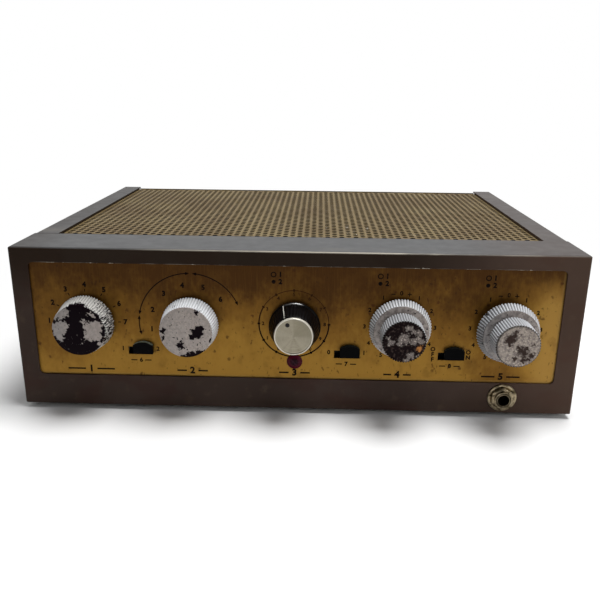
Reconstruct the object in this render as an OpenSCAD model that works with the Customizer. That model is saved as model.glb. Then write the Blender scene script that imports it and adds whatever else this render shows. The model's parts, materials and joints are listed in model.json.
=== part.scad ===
// Tube preamplifier: a folded steel case with a vented top, a brushed face plate with five
// rotary controls and three slide switches, and the tube chassis inside.
// +X is right seen from the front, +Y runs to the back, +Z is up, and the feet stand on z = 0.

/* [Case] */
// Width of the case
case_w = 305; // [300:1:330]
// Depth of the case
case_d = 222; // [210:1:260]
// Height of the case above its feet
case_h = 90; // [87:1:110]
// Thickness of the case's steel sheet
sheet_t = 1.2; // [0.9:0.1:1.5]
// Outside radius of the folded edges
bend_r = 1.4; // [1.3:0.1:3]
// Depth of the folded front frame
frame_d = 35; // [30:1:45]
// How far the side panels sit inside the frame's outer surface
side_inset = 0.3; // [0.2:0.1:0.6]
// Width of the rail along each side of the top
rail_w = 14; // [11:0.5:18]
// Width of the flange along the bottom of each side panel
floor_flange_w = 22; // [20:1:30]
// Width of the flange at the rear of each side panel
rear_flange_w = 9; // [8:0.5:12]
// How far one sheet laps behind another
lap = 5; // [3:0.5:8]
// Thickness of the bottom plate
floor_t = 1.2; // [0.8:0.1:2]
// Gap left between sheets that pass each other
sheet_gap = 0.4; // [0.2:0.1:0.8]

/* [Feet] */
// Height of the rubber feet
foot_h = 3; // [2.6:0.1:8]
// Diameter of the rubber feet
foot_d = 18; // [14:0.5:20]
// Distance of the feet from the front frame and from the rear edge
foot_setback = 17; // [12:1:40]
// Diameter of the screws that hold feet, rear panel and transformer
screw_d = 3.2; // [2.5:0.1:4]

/* [Face plate] */
// Width of the window in the front frame
window_w = 283.2; // [278:0.5:286]
// Height of the window
window_h = 64; // [62:0.5:66]
// Height of the window's centre above the case's bottom edge
window_z = 49.8; // [48:0.2:51]
// Corner radius of the window
window_r = 2.5; // [1:0.5:6]
// Thickness of the face plate
plate_t = 1; // [0.6:0.1:1.6]
// How far the face plate laps behind the front frame
plate_lap = 3.2; // [2:0.1:3.4]
// Sideways place of the window and of the row of controls
panel_x = -0.8; // [-2:0.1:2]

/* [Top grille] */
// Thickness of the grille's sheet
grille_t = 0.8; // [0.6:0.1:1.2]
// Width of a vent slot
slot_w = 3; // [2:0.2:4]
// Length of a vent slot
slot_l = 56; // [30:1:60]
// Distance between columns of slots
slot_pitch = 8; // [6:0.5:12]
// Bar left between the ends of two slots
slot_bar = 4; // [2:0.5:8]
// Plain border of the grille
grille_margin = 4; // [2:0.5:8]
// Height of the grille's folded rear lip
lip_h = 10; // [8:1:14]

/* [Controls] */
// Distance between the rotary controls
knob_pitch = 56.4; // [54:0.2:58]
// Height of the controls' axes above the case's bottom edge
row_z = 48.8; // [46:0.2:52]
// Gap between the face plate and the back of a knob
knob_gap = 2; // [1.6:0.1:3]
// Diameter of a control shaft
shaft_d = 6.35; // [6:0.05:6.5]
// Diameter of the inner rod of a concentric shaft
rod_d = 3.2; // [3:0.1:3.6]
// Radial running clearance of shafts and rods
run_gap = 0.05; // [0.02:0.01:0.1]
// Diameter of the threaded bushings
bush_d = 9.4; // [9:0.1:10]
// Length of the bushings in front of the subpanel's rear face
bush_len = 6.5; // [6.4:0.1:8]
// Width across flats of the bushing nuts
nut_w = 12.7; // [12:0.1:14]
// Thickness of the bushing nuts
nut_t = 2.2; // [1.8:0.1:2.6]

/* [Knobs] */
// Rear diameter of the selector and mode knobs
knob_rear_d = 31.2; // [29:0.2:33]
// Face diameter of the selector and mode knobs
knob_face_d = 27.8; // [26:0.2:30]
// Length of the selector and mode knobs
knob_len = 12.7; // [11:0.1:16]
// Rear diameter of the level knob
level_rear_d = 27.8; // [25:0.2:30]
// Front diameter of the level knob
level_front_d = 21.4; // [20.6:0.2:23]
// Length of the level knob's body
level_len = 14.4; // [12:0.1:18]
// Diameter of the level knob's metal cap
cap_d = 20.4; // [18:0.2:20.6]
// Thickness of the level knob's metal cap
cap_t = 1.4; // [1:0.1:2]
// Rear diameter of the outer tone rings
ring_rear_d = 33.6; // [31:0.2:36]
// Face diameter of the outer tone rings
ring_face_d = 29.2; // [27:0.2:30]
// Thickness of the outer tone rings
ring_t = 6.9; // [6.4:0.1:9]
// Rear diameter of the inner tone knobs
inner_rear_d = 23.4; // [22:0.2:25]
// Face diameter of the inner tone knobs
inner_face_d = 22.6; // [20:0.2:24]
// Length of the inner tone knobs
inner_len = 12.5; // [10:0.1:15]
// Gap between an outer ring and its inner knob
pair_gap = 0.9; // [0.6:0.1:2]
// How much further out the treble knobs sit on their shafts
treble_pull = 3.2; // [0:0.1:3.4]
// Number of serrations round a knob
knob_teeth = 64; // [40:1:80]
// Depth of the serrations
tooth_depth = 0.6; // [0.3:0.05:1]
// Wall left round the hollow back of a knob
knob_wall = 2.6; // [2:0.1:3]
// Thickness of a knob's front wall
knob_web = 2.5; // [2:0.1:4]

/* [Potentiometers and switches] */
// Diameter of the potentiometers
pot_d = 24; // [20:0.5:27]
// Length of the level potentiometer
pot_len = 16; // [14:0.5:24]
// Length of the tandem tone potentiometers
tandem_len = 28; // [26:0.5:34]
// Wall of the potentiometers and of the switch housings
pot_wall = 1.2; // [0.8:0.1:1.6]
// Thickness of the collars and discs on the shafts inside
rotor_t = 2; // [1.6:0.1:2.4]
// Width of the rotary switches' square housing
housing_w = 25; // [22:0.5:26]
// Depth of the rotary switches' housing
housing_t = 7; // [6:0.5:10]
// Diameter of the rotary switches' wafers
wafer_d = 34; // [30:0.5:38]
// Thickness of a wafer
wafer_t = 1.6; // [1.2:0.1:2.4]
// Distance between wafers
wafer_step = 9; // [6:0.5:12]
// Height of a slide switch's opening
opening_h = 4.4; // [4:0.2:6]
// Height of the slide switches above the case's bottom edge
switch_z = 32.4; // [31.6:0.1:33.2]
// Width of a slider's neck, which passes through the opening
neck_w = 9; // [6:0.1:9.2]
// Width of a slider's thumb piece
thumb_w = 10.8; // [9.6:0.2:12]
// Height of a thumb piece's straight sides
thumb_h = 5.2; // [4:0.1:6]
// Rise of a thumb piece's arched top
thumb_rise = 1.9; // [1:0.1:2.4]
// How far a thumb piece reaches below the middle of its opening
thumb_drop = 1.2; // [0.6:0.1:2]
// How far a thumb piece stands out of the face plate
thumb_out = 2.6; // [2:0.1:6]
// Gap between a thumb piece and the face plate
thumb_gap = 0.3; // [0.2:0.05:0.6]
// Travel of a slider
slide_travel = 3.6; // [3:0.1:4.2]
// Room left at both ends of a slider's travel
end_room = 0.4; // [0.3:0.05:0.6]
// Gap round a slider inside its switch
slide_gap = 0.3; // [0.2:0.05:0.4]
// Width of a slide switch's body
switch_w = 19; // [18.5:0.2:20]
// Distance between a slide switch's two screws
ear_span = 24; // [23.6:0.1:24.6]
// Depth of a slide switch's body
switch_d = 9; // [8:0.5:12]

/* [Pilot lamp and phone jack] */
// Diameter of the pilot lens
lens_d = 8.3; // [7:0.1:9]
// Height of the pilot lens above the case's bottom edge
lens_z = 27.7; // [27.5:0.1:29]
// How far the pilot lens bulges out of the face plate
lens_bulge = 1.2; // [0.6:0.1:2]
// Offset of the phone jack to the right of the treble control
jack_dx = 1.6; // [0:0.1:6]
// Height of the phone jack's axis above the case's bottom edge
jack_z = 9.4; // [8.4:0.1:9.6]
// Bore of the phone jack
jack_bore_d = 6.5; // [6.4:0.05:6.8]
// How far the phone jack stands out of the front
jack_out = 4.3; // [3.6:0.1:6]
// Diameter of the phone jack's washer
jack_washer_d = 16.2; // [14:0.2:16.8]
// Length of the phone jack's body behind the subpanel
jack_body_l = 24; // [20:0.5:30]

/* [Chassis] */
// Height of the chassis deck above the case's bottom edge
deck_z = 18; // [17.4:0.1:19]
// Number of tubes in the front row
tube_count = 5; // [2:1:5]
// Distance between the tubes of the front row
tube_pitch = 40; // [32:1:44]
// Distance of the tube row from the case's front
tube_row_y = 92; // [80:1:96]
// Distance of the transformer, capacitor and last tube from the case's front
power_row_y = 168; // [162:1:172]
// Diameter of a tube's glass
tube_d = 21; // [18:0.5:24]
// Height of a tube's glass
tube_h = 48; // [40:1:58]
// Wall of a tube's glass
glass_t = 1; // [0.8:0.1:1.4]
// Width of the transformer's outer legs, which sets the whole core
core_leg = 11; // [9:0.5:12]
// Thickness of the transformer's stack of sheets
core_stack = 28; // [20:1:32]
// Diameter of the filter capacitor
can_d = 30; // [22:1:36]
// Height of the filter capacitor
can_h = 50; // [40:1:60]

/* [Rear panel] */
// Number of phono jacks in a row
phono_cols = 8; // [2:1:8]
// Number of rows of phono jacks
phono_rows = 2; // [1:1:3]
// Distance between phono jacks along a row
phono_pitch_x = 18; // [15:0.5:19]
// Distance between rows of phono jacks
phono_pitch_z = 18; // [15:0.5:19]
// Outside diameter of a phono jack's sleeve
phono_d = 8.3; // [8:0.1:8.6]
// Diameter of a phono jack's centre hole
phono_hole_d = 3.2; // [3:0.1:3.6]
// Length of a phono jack outside its strip
phono_len = 9.5; // [8:0.5:12]
// Thickness of the insulating strip under the phono jacks
strip_t = 1.6; // [1:0.1:2.4]
// Width of a mains outlet's face
outlet_w = 30; // [28:0.5:34]
// Height of a mains outlet's face
outlet_h = 22; // [18:0.5:26]
// Diameter of the cord grommet's bore
cord_bore_d = 7; // [6:0.2:8]

/* [Hidden] */
$fn = 64;
// Overshoot of cutting shapes
cut = 1;
// Straight steps in a quarter circle of an outline
arc_steps = 6;
// Gap round a bushing in its panel hole
hole_gap = 0.15;
// Gap between a bushing's end and the hub of its knob
hub_gap = 0.8;
// Wall of a knob's hub round its shaft
hub_wall = 2.6;
// Room round a bushing's nut in the back of a knob
nut_room = 1.2;
// How far a shaft's collar stands out
collar_wall = 2.4;
// Length of a shaft past the last piece on it
shaft_spare = 3;
// Gap round the discs inside a potentiometer
rotor_gap = 2;
// Width of the deck's free edge beside the side panels
deck_edge = 6;
// Depth of the subpanel's side flanges
subpanel_flange = 12;
// Length of a screw past what it holds
screw_spare = 2;
// Rubber left above a foot's screw head
foot_web = 1;
// Room round a foot's screw head
foot_room = 0.6;
// How much a foot narrows towards the floor
foot_taper = 0.8;

// Planes from front to back, measured from the case's front face
plate_front = sheet_t;
plate_back = plate_front + plate_t;
panel_back = plate_back + sheet_t;
apron_out = case_d - sheet_t;
apron_in = apron_out - sheet_t;
strip_face = apron_out + strip_t;
phono_end = strip_face + phono_len;

// Knob planes, negative in front of the case's front face
knob_rear = plate_front - knob_gap;
knob_face = knob_rear - knob_len;
level_face = knob_rear - level_len;
function ring_rear(pull) = knob_rear - pull;
function ring_face(pull) = ring_rear(pull) - ring_t;
function inner_rear(pull) = ring_face(pull) - pair_gap;
function inner_face(pull) = inner_rear(pull) - inner_len;
bush_front = panel_back - bush_len;
hub_start = bush_front - hub_gap;

// The case in the part's frame: the box of the whole part is centred on the origin
front_reach = -inner_face(treble_pull);
rear_reach = phono_end - case_d;
front_y = (front_reach - case_d - rear_reach) / 2;

// Heights above the case's bottom edge
floor_top = sheet_t + floor_t;
rail_under = case_h - side_inset - sheet_t;
grille_under = rail_under - grille_t;
deck_under = deck_z - sheet_t;

// Widths from the middle
side_out = case_w / 2 - side_inset;
side_in = side_out - sheet_t;
frame_in = case_w / 2 - sheet_t;
grille_w = case_w - 2 * rail_w;
deck_half = side_in - deck_edge;

// Radii
shaft_r = shaft_d / 2;
rod_r = rod_d / 2;
bush_r = bush_d / 2;
bush_hole_r = bush_r + hole_gap;
nut_r = nut_w / 2 / cos(30);
screw_r = screw_d / 2;
head_r = screw_r * 1.9;
head_t = screw_r;
lens_r = lens_d / 2;
pot_r = pot_d / 2;
tube_r = tube_d / 2;
hub_r = shaft_r + hub_wall;
hollow_r = nut_r + nut_room;
collar_r = shaft_r + collar_wall;

// Places along the panel
function control_x(i) = panel_x + i * knob_pitch;
selector_x = control_x(-2);
mode_x = control_x(-1);
level_x = control_x(0);
bass_x = control_x(1);
treble_x = control_x(2);
control_xs = [selector_x, mode_x, level_x, bass_x, treble_x];
tape_x = control_x(-1.5);
loudness_x = control_x(0.5);
power_x = control_x(1.5);
switch_xs = [tape_x, loudness_x, power_x];
jack_x = treble_x + jack_dx;

// The level knob's pointer, turned anticlockwise from upright
level_turn = 27;
dot_r = 1.15;
dot_in = 3.2;

// Slide switch insides
slide_offset = slide_travel / 2;
opening_w = neck_w + slide_travel + 2 * end_room;
ear_t = 1;
ear_margin = 2.4;
ear_screw_r = 1.2;
ear_head_r = 2;
carrier_t = 2;
carrier_lip = 1.5;
carrier_w = neck_w + 2 * carrier_lip;
carrier_h = opening_h + 2 * carrier_lip;
switch_wall = 1;
cavity_w = carrier_w + slide_travel + 2 * slide_gap;
cavity_h = carrier_h + 2 * slide_gap;
switch_h = cavity_h + 2 * switch_wall;

// Phone jack body, kept clear of the bottom plate and of the deck
jack_bush_wall = 1.5;
jack_bush_r = jack_bore_d / 2 + jack_bush_wall;
jack_body_h = 2 * min(jack_z - floor_top - sheet_gap, deck_under - jack_z - sheet_gap);
jack_body_w = 16;
jack_end_t = 2;
jack_washer_t = 0.6;
jack_nut_t = 2;
jack_nut_wall = 1;
jack_nut_r = jack_bush_r + jack_nut_wall;

// Lens and lamp
lens_flange = 1.4;
lamp_r = 4.6;
lamp_wall = 0.8;
lamp_base = 2;
lamp_room = 5;
lamp_len = 22;
lamp_front = panel_back + lamp_room;
lamp_back = lamp_front + lamp_len;

// Tubes and the power row
socket_lip = 2.5;
socket_flange_r = tube_r + socket_lip;
socket_r = tube_r - glass_t;
socket_t = 2;
socket_drop = 7;
tube_floor = deck_z + socket_t;
glass_base_t = 2;
tube_row_x = 22;
core_w = 6 * core_leg;
core_h = 5 * core_leg;
coil_gap = 0.4;
foot_tab = 12;
foot_tab_t = 1.6;
core_screw_dx = core_w / 2 + foot_tab / 2;
transformer_in = 59;
transformer_x = transformer_in - side_in;
can_room = 10;
capacitor_x = transformer_x + core_w / 2 + foot_tab + can_room + can_d / 2;
last_tube_room = 34;
last_tube_x = capacitor_x + can_d / 2 + last_tube_room + socket_flange_r;
tube_places = concat([for (i = [0:tube_count - 1])
                        [tube_row_x + (i - (tube_count - 1) / 2) * tube_pitch, tube_row_y]],
                     [[last_tube_x, power_row_y]]);

// Terminal board under the deck
board_w = 150;
board_d = 34;
board_t = 1.6;
board_x = 0;
board_room = 6;
board_y = tube_row_y + socket_r + board_room + board_d / 2;
board_drop = 9;
board_z = deck_under - board_drop;
part_r = 2.8;
part_l = 20;
part_pitch = 14;
part_count = 10;

// Rear panel places
phono_in = 35;
phono_z = 48;
phono_lip = 2;
phono_wall = 1;
phono_flange_r = phono_d / 2 + phono_lip;
phono_tail_r = phono_d / 2 - phono_wall;
phono_tail = 5;
strip_margin = 9;
strip_w = (phono_cols - 1) * phono_pitch_x + 2 * strip_margin;
phono_x = side_in - phono_in - strip_w / 2;
strip_h = (phono_rows - 1) * phono_pitch_z + 2 * strip_margin;
phono_places = [for (i = [0:phono_cols - 1], j = [0:phono_rows - 1])
                  [phono_x + (i - (phono_cols - 1) / 2) * phono_pitch_x,
                   phono_z + (j - (phono_rows - 1) / 2) * phono_pitch_z]];
outlet_in = 35;
outlet_pitch = 40;
outlet_xs = [outlet_in - side_in, outlet_in + outlet_pitch - side_in];
outlet_z = 56;
outlet_depth = 14;
outlet_rim = 2;
outlet_rim_t = 1.8;
blade_w = 1.8;
blade_h = 7;
blade_pitch = 12.7;
blade_depth = 9;
grommet_in = 23;
grommet_x = grommet_in - side_in;
grommet_z = 30;
grommet_wall = 2.5;
grommet_flange = 2;
side_screw_x = side_out - rear_flange_w / 2;
side_screw_zs = [20, 46, 72];
lip_screw_xs = [-90, 0, 90];
lip_screw_z = rail_under - lip_h / 2;
deck_screw_xs = [-50, 60];
deck_screw_z = floor_top + (deck_under - floor_top) / 2;
foot_x = case_w / 2 - floor_flange_w / 2;
foot_ys = [frame_d + foot_setback, case_d - foot_setback];

// Points of an arc in an outline
function arc(cx, cy, r, from, to) =
  [for (i = [0:arc_steps]) let (a = from + (to - from) * i / arc_steps)
     [cx + r * cos(a), cy + r * sin(a)]];

// Outline of a rectangle with rounded corners, centred
function rounded_rect(w, h, r) =
  concat(arc(w / 2 - r, h / 2 - r, r, 0, 90), arc(r - w / 2, h / 2 - r, r, 90, 180),
         arc(r - w / 2, r - h / 2, r, 180, 270), arc(w / 2 - r, r - h / 2, r, 270, 360));

// Zigzag outline of a serrated knob
function serrated(r, teeth) =
  [for (i = [0:2 * teeth - 1]) let (a = 180 * i / teeth, q = i % 2 == 0 ? r : r - tooth_depth)
     [q * cos(a), q * sin(a)]];

// The case's own frame: x from the middle, y from its front face, z from its bottom edge
module in_case() translate([0, front_y, foot_h]) children();

// An axis that runs from front to back, with local z along it
module on_axis(x, z) in_case() translate([x, 0, z]) rotate([-90, 0, 0]) children();

// An upright axis that stands at a height in the case
module upright(x, y, z) in_case() translate([x, y, z]) children();

// A round bar between two planes of its axis
module bar(r, from, to) translate([0, 0, from]) cylinder(r = r, h = to - from);

// A sheet that faces the front, between two planes
module front_sheet(from, to) translate([0, to, 0]) rotate([90, 0, 0]) linear_extrude(to - from) children();

// A box given by its two corners
module box(low, high) translate(low) cube(high - low);

// The front frame's block, set in from the outer surface on the front, the top and both sides
module frame_block(inset, spare) {
  half = case_w / 2 - inset;
  top = case_h - inset;
  back = frame_d + spare;
  r = bend_r - inset;
  intersection() {
    translate([0, 0, -spare])
      linear_extrude(case_h + 2 * spare)
        polygon(concat([[half, back], [-half, back]],
                       arc(r - half, inset + r, r, 180, 270), arc(half - r, inset + r, r, 270, 360)));
    front_sheet(-cut, back + cut)
      polygon(concat([[-half, -spare], [half, -spare]],
                     arc(half - r, top - r, r, 0, 90), arc(r - half, top - r, r, 90, 180)));
    translate([-half - cut, 0, 0])
      rotate([90, 0, 90])
        linear_extrude(2 * (half + cut))
          polygon(concat([[inset, -spare], [back, -spare], [back, top]],
                         arc(inset + r, top - r, r, 90, 180)));
  }
}

module front_frame() {
  color("#3f342e")
    in_case() difference() {
      frame_block(0, 0);
      frame_block(sheet_t, cut);
      front_sheet(-cut, sheet_t + cut)
        translate([panel_x, window_z])
          polygon(rounded_rect(window_w, window_h, window_r));
      translate([jack_x, 0, jack_z])
        rotate([-90, 0, 0])
          bar(jack_bush_r + hole_gap, -cut, sheet_t + cut);
    }
}

// The right side panel: a channel with a top rail, a floor flange, a rear flange and a joining strip
module side_panel() {
  top = case_h - side_inset;
  mid = side_out - bend_r;
  r = bend_r - sheet_t;
  rail_edge = case_w / 2 - rail_w;
  floor_edge = case_w / 2 - floor_flange_w;
  in_case() difference() {
    union() {
      front_sheet(frame_d, case_d)
        polygon(concat([[rail_edge, top]], arc(mid, top - bend_r, bend_r, 90, 0),
                       arc(mid, bend_r, bend_r, 0, -90), [[floor_edge, 0], [floor_edge, sheet_t]],
                       arc(mid, bend_r, r, -90, 0), arc(mid, top - bend_r, r, 0, 90),
                       [[rail_edge, top - sheet_t]]));
      box([side_out - rear_flange_w, apron_out, sheet_t / 2],
          [side_out - sheet_t / 2, case_d, top - sheet_t / 2]);
      box([frame_in - sheet_t, frame_d - 2 * lap, 3 * bend_r],
          [frame_in, frame_d + 2 * lap, case_h - 3 * bend_r]);
    }
    for (y = foot_ys)
      translate([foot_x, y, 0])
        bar(screw_r, -cut, sheet_t + cut);
    for (z = side_screw_zs)
      translate([side_screw_x, 0, z])
        rotate([-90, 0, 0])
          bar(screw_r, apron_out - cut, case_d + cut);
  }
}

module right_side_panel() {
  color("#443830")
    side_panel();
}

module left_side_panel() {
  color("#443830")
    mirror([1, 0, 0])
      side_panel();
}

module top_grille() {
  first_y = frame_d + grille_margin;
  field_w = grille_w - 2 * grille_margin;
  field_d = apron_out - grille_margin - first_y;
  cols = floor((field_w - slot_w) / slot_pitch) + 1;
  rows = floor((field_d + slot_bar) / (slot_l + slot_bar));
  left = -((cols - 1) * slot_pitch + slot_w) / 2;
  front = first_y + (field_d - rows * (slot_l + slot_bar) + slot_bar) / 2;
  color("#93815f")
    in_case() difference() {
      union() {
        translate([0, 0, grille_under])
          linear_extrude(grille_t)
            difference() {
              translate([-grille_w / 2 - lap, frame_d - lap])
                square([grille_w + 2 * lap, apron_out - frame_d + lap]);
              for (i = [0:cols - 1], j = [0:rows - 1])
                translate([left + i * slot_pitch, front + j * (slot_l + slot_bar)])
                  square([slot_w, slot_l]);
            }
        box([-grille_w / 2, apron_out, rail_under - lip_h],
            [grille_w / 2, apron_out + grille_t, rail_under]);
      }
      for (x = lip_screw_xs)
        translate([x, 0, lip_screw_z])
          rotate([-90, 0, 0])
            bar(screw_r, apron_out - cut, case_d + cut);
    }
}

// Openings that the face plate and the subpanel share
module panel_openings(from, to) {
  for (x = control_xs)
    translate([x, 0, row_z])
      rotate([-90, 0, 0])
        bar(bush_hole_r, from, to);
  for (x = switch_xs)
    box([x - opening_w / 2, from, switch_z - opening_h / 2],
        [x + opening_w / 2, to, switch_z + opening_h / 2]);
  translate([level_x, 0, lens_z])
    rotate([-90, 0, 0])
      bar(lens_r + hole_gap, from, to);
}

module face_plate() {
  color("#8a6a35")
    in_case() difference() {
      front_sheet(plate_front, plate_back)
        translate([panel_x, window_z])
          polygon(rounded_rect(window_w + 2 * plate_lap, window_h + 2 * plate_lap, window_r));
      panel_openings(plate_front - cut, plate_back + cut);
      translate([jack_x, 0, jack_z])
        rotate([-90, 0, 0])
          bar(jack_bush_r + hole_gap, plate_front - cut, plate_back + cut);
    }
}

module front_subpanel() {
  top = case_h - 3 * bend_r;
  color("#9c9a92")
    in_case() difference() {
      union() {
        box([-frame_in, plate_back, floor_top], [frame_in, panel_back, top]);
        for (side = [0, 1])
          mirror([side, 0, 0])
            box([frame_in - sheet_t, plate_back, floor_top],
                [frame_in, plate_back + subpanel_flange, top]);
      }
      panel_openings(plate_back - cut, panel_back + cut);
      translate([jack_x, 0, jack_z])
        rotate([-90, 0, 0])
          bar(jack_bush_r + hole_gap, plate_back - cut, panel_back + cut);
      for (x = switch_xs, side = [-1, 1])
        translate([x + side * ear_span / 2, 0, switch_z])
          rotate([-90, 0, 0])
            bar(ear_screw_r, plate_back - cut, panel_back + cut);
    }
}

module chassis_deck() {
  back = apron_in;
  color("#a7a59c")
    in_case() difference() {
      union() {
        box([-deck_half, panel_back, deck_under], [deck_half, back, deck_z]);
        box([-deck_half, panel_back, floor_top], [deck_half, panel_back + sheet_t, deck_z]);
        box([-deck_half, back - sheet_t, floor_top], [deck_half, back, deck_z]);
      }
      box([jack_x - jack_body_w / 2 - sheet_gap, panel_back - cut, floor_top - cut],
          [jack_x + jack_body_w / 2 + sheet_gap, panel_back + sheet_t + cut, deck_under]);
      for (p = tube_places)
        translate([p[0], p[1], 0])
          bar(socket_r + hole_gap, deck_under - cut, deck_z + cut);
      for (side = [-1, 1])
        translate([transformer_x + side * core_screw_dx, power_row_y, 0])
          bar(screw_r, deck_under - cut, deck_z + cut);
      for (x = deck_screw_xs)
        translate([x, 0, deck_screw_z])
          rotate([-90, 0, 0])
            bar(screw_r, back - sheet_t - cut, back + cut);
    }
}

module rear_apron() {
  half = side_in - sheet_gap;
  hole_r = cord_bore_d / 2 + grommet_wall;
  color("#a7a59c")
    in_case() difference() {
      box([-half, apron_in, floor_top], [half, apron_out, grille_under - sheet_gap]);
      for (p = phono_places)
        translate([p[0], 0, p[1]])
          rotate([-90, 0, 0])
            bar(phono_tail_r + hole_gap, apron_in - cut, apron_out + cut);
      for (x = outlet_xs)
        box([x - outlet_w / 2 + outlet_rim, apron_in - cut, outlet_z - outlet_h / 2 + outlet_rim],
            [x + outlet_w / 2 - outlet_rim, apron_out + cut, outlet_z + outlet_h / 2 - outlet_rim]);
      translate([grommet_x, 0, grommet_z])
        rotate([-90, 0, 0])
          bar(hole_r, apron_in - cut, apron_out + cut);
      for (side = [-1, 1], z = side_screw_zs)
        translate([side * side_screw_x, 0, z])
          rotate([-90, 0, 0])
            bar(screw_r, apron_in - cut, apron_out + cut);
      for (x = deck_screw_xs)
        translate([x, 0, deck_screw_z])
          rotate([-90, 0, 0])
            bar(screw_r, apron_in - cut, apron_out + cut);
      for (x = lip_screw_xs)
        translate([x, 0, lip_screw_z])
          rotate([-90, 0, 0])
            bar(screw_r, apron_in - cut, apron_out + cut);
    }
}

module bottom_plate() {
  half = side_in - sheet_gap;
  color("#8f8d86")
    in_case() difference() {
      box([-half, sheet_t + sheet_gap, sheet_t], [half, apron_out - sheet_gap, floor_top]);
      for (side = [-1, 1], y = foot_ys)
        translate([side * foot_x, y, 0])
          bar(screw_r, sheet_t - cut, floor_top + cut);
    }
}

module rubber_feet() {
  foot_r = foot_d / 2;
  recess_r = head_r + foot_room;
  color("#1c1b1a")
    for (side = [-1, 1], y = foot_ys)
      upright(side * foot_x, y, 0)
        rotate_extrude()
          polygon([[screw_r, 0], [foot_r, 0], [foot_r - foot_taper, -foot_h], [recess_r, -foot_h],
                   [recess_r, -foot_web], [screw_r, -foot_web]]);
}

module foot_screws() {
  color("#b9b6ae")
    for (side = [-1, 1], y = foot_ys)
      upright(side * foot_x, y, 0) {
        bar(head_r, -foot_web - head_t, -foot_web);
        bar(screw_r, -foot_web - head_t / 2, floor_top + screw_spare);
      }
}

// A rotary switch: bushing, detent housing and two wafers on tie rods
module rotary_switch(x) {
  back = panel_back + housing_t;
  last = back + 2 * wafer_step + wafer_t;
  tie_r = 1.5;
  tie_place = housing_w / 2 - 2 * tie_r;
  on_axis(x, row_z) {
    difference() {
      union() {
        bar(bush_r, bush_front, panel_back + pot_wall / 2);
        translate([-housing_w / 2, -housing_w / 2, panel_back])
          cube([housing_w, housing_w, housing_t]);
      }
      bar(shaft_r + run_gap, bush_front - cut, back + cut);
      bar(collar_r + slide_gap, panel_back + pot_wall, back - pot_wall);
    }
    for (i = [1, 2])
      difference() {
        bar(wafer_d / 2, back + i * wafer_step, back + i * wafer_step + wafer_t);
        bar(shaft_r + slide_gap, back, last + cut);
      }
    for (side = [-1, 1])
      translate([side * tie_place, side * tie_place, 0])
        bar(tie_r, back - pot_wall / 2, last + shaft_spare);
  }
}

// The shaft of a rotary switch, with its collar in the housing
module switch_shaft(x) {
  tail = panel_back + housing_t + 2 * wafer_step + wafer_t + shaft_spare;
  mid = panel_back + housing_t / 2;
  color("#b4b2ac")
    on_axis(x, row_z) {
      bar(shaft_r, knob_face + knob_web, tail);
      bar(collar_r, mid - rotor_t / 2, mid + rotor_t / 2);
    }
}

// A serrated knob skirt that narrows from its rear to its face
module serrated_skirt(rear_d, face_d, rear, face) {
  translate([0, 0, rear])
    mirror([0, 0, 1])
      linear_extrude(rear - face, scale = face_d / rear_d)
        polygon(serrated(rear_d / 2, knob_teeth));
}

// The hollow back of a knob, round its hub and clear of the bushing's nut
module knob_hollow(r, rear, web) {
  difference() {
    bar(r, web, rear + cut);
    bar(hub_r, web - cut, hub_start);
  }
}

// A knob for a plain shaft
module single_knob(x) {
  web = knob_face + knob_web;
  on_axis(x, row_z)
    difference() {
      serrated_skirt(knob_rear_d, knob_face_d, knob_rear, knob_face);
      knob_hollow(knob_face_d / 2 - knob_wall, knob_rear, web);
      bar(shaft_r, web, knob_rear);
    }
}

module selector_switch() {
  color("#b08d57")
    rotary_switch(selector_x);
}

module selector_shaft() {
  switch_shaft(selector_x);
}

module selector_knob() {
  color("#8f8b8a")
    single_knob(selector_x);
}

module mode_switch() {
  color("#b08d57")
    rotary_switch(mode_x);
}

module mode_shaft() {
  switch_shaft(mode_x);
}

module mode_knob() {
  color("#a9a5a3")
    single_knob(mode_x);
}

// A potentiometer: bushing, hollow can and solder lugs
module potentiometer(x, length) {
  lug_w = 2;
  lug_l = 6;
  lug_t = 0.6;
  lug_pitch = 5;
  on_axis(x, row_z) {
    difference() {
      union() {
        bar(bush_r, bush_front, panel_back + pot_wall);
        bar(pot_r, panel_back, panel_back + length);
      }
      bar(shaft_r + run_gap, bush_front - cut, panel_back + pot_wall + cut);
      bar(pot_r - pot_wall, panel_back + pot_wall, panel_back + length - pot_wall);
    }
    for (i = [-1, 0, 1])
      translate([i * lug_pitch - lug_w / 2, -pot_r - lug_l + 2 * pot_wall, panel_back + pot_wall])
        cube([lug_w, lug_l, lug_t]);
  }
}

// Shaft planes inside a potentiometer
outer_rotor = panel_back + pot_wall + rotor_gap;
outer_tail = outer_rotor + rotor_t + shaft_spare;
inner_rotor = outer_tail + rotor_gap;
inner_tail = inner_rotor + rotor_t + shaft_spare;
rotor_r = pot_r - pot_wall - rotor_gap;

module level_pot() {
  color("#a39f95")
    potentiometer(level_x, pot_len);
}

module level_shaft() {
  color("#b4b2ac")
    on_axis(level_x, row_z) {
      bar(shaft_r, level_face + knob_web, outer_tail);
      bar(rotor_r, outer_rotor, outer_rotor + rotor_t);
    }
}

module level_knob() {
  web = level_face + knob_web;
  color("#16151a")
    on_axis(level_x, row_z)
      difference() {
        serrated_skirt(level_rear_d, level_front_d, knob_rear, level_face);
        knob_hollow(max(level_front_d / 2 - knob_wall, hollow_r), knob_rear, web + knob_web);
        bar(shaft_r, web, knob_rear);
      }
}

module level_knob_cap() {
  rim = 0.8;
  dish = 0.3;
  cap_r = cap_d / 2;
  face = level_face - cap_t;
  dot_place = cap_r - dot_in;
  color("#b8b5ab")
    on_axis(level_x, row_z)
      difference() {
        bar(cap_r, face, level_face);
        bar(cap_r - rim, face - cut, face + dish);
        translate([-dot_place * sin(level_turn), -dot_place * cos(level_turn), 0])
          bar(dot_r, face - cut, face + 2 * dish);
      }
}

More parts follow.
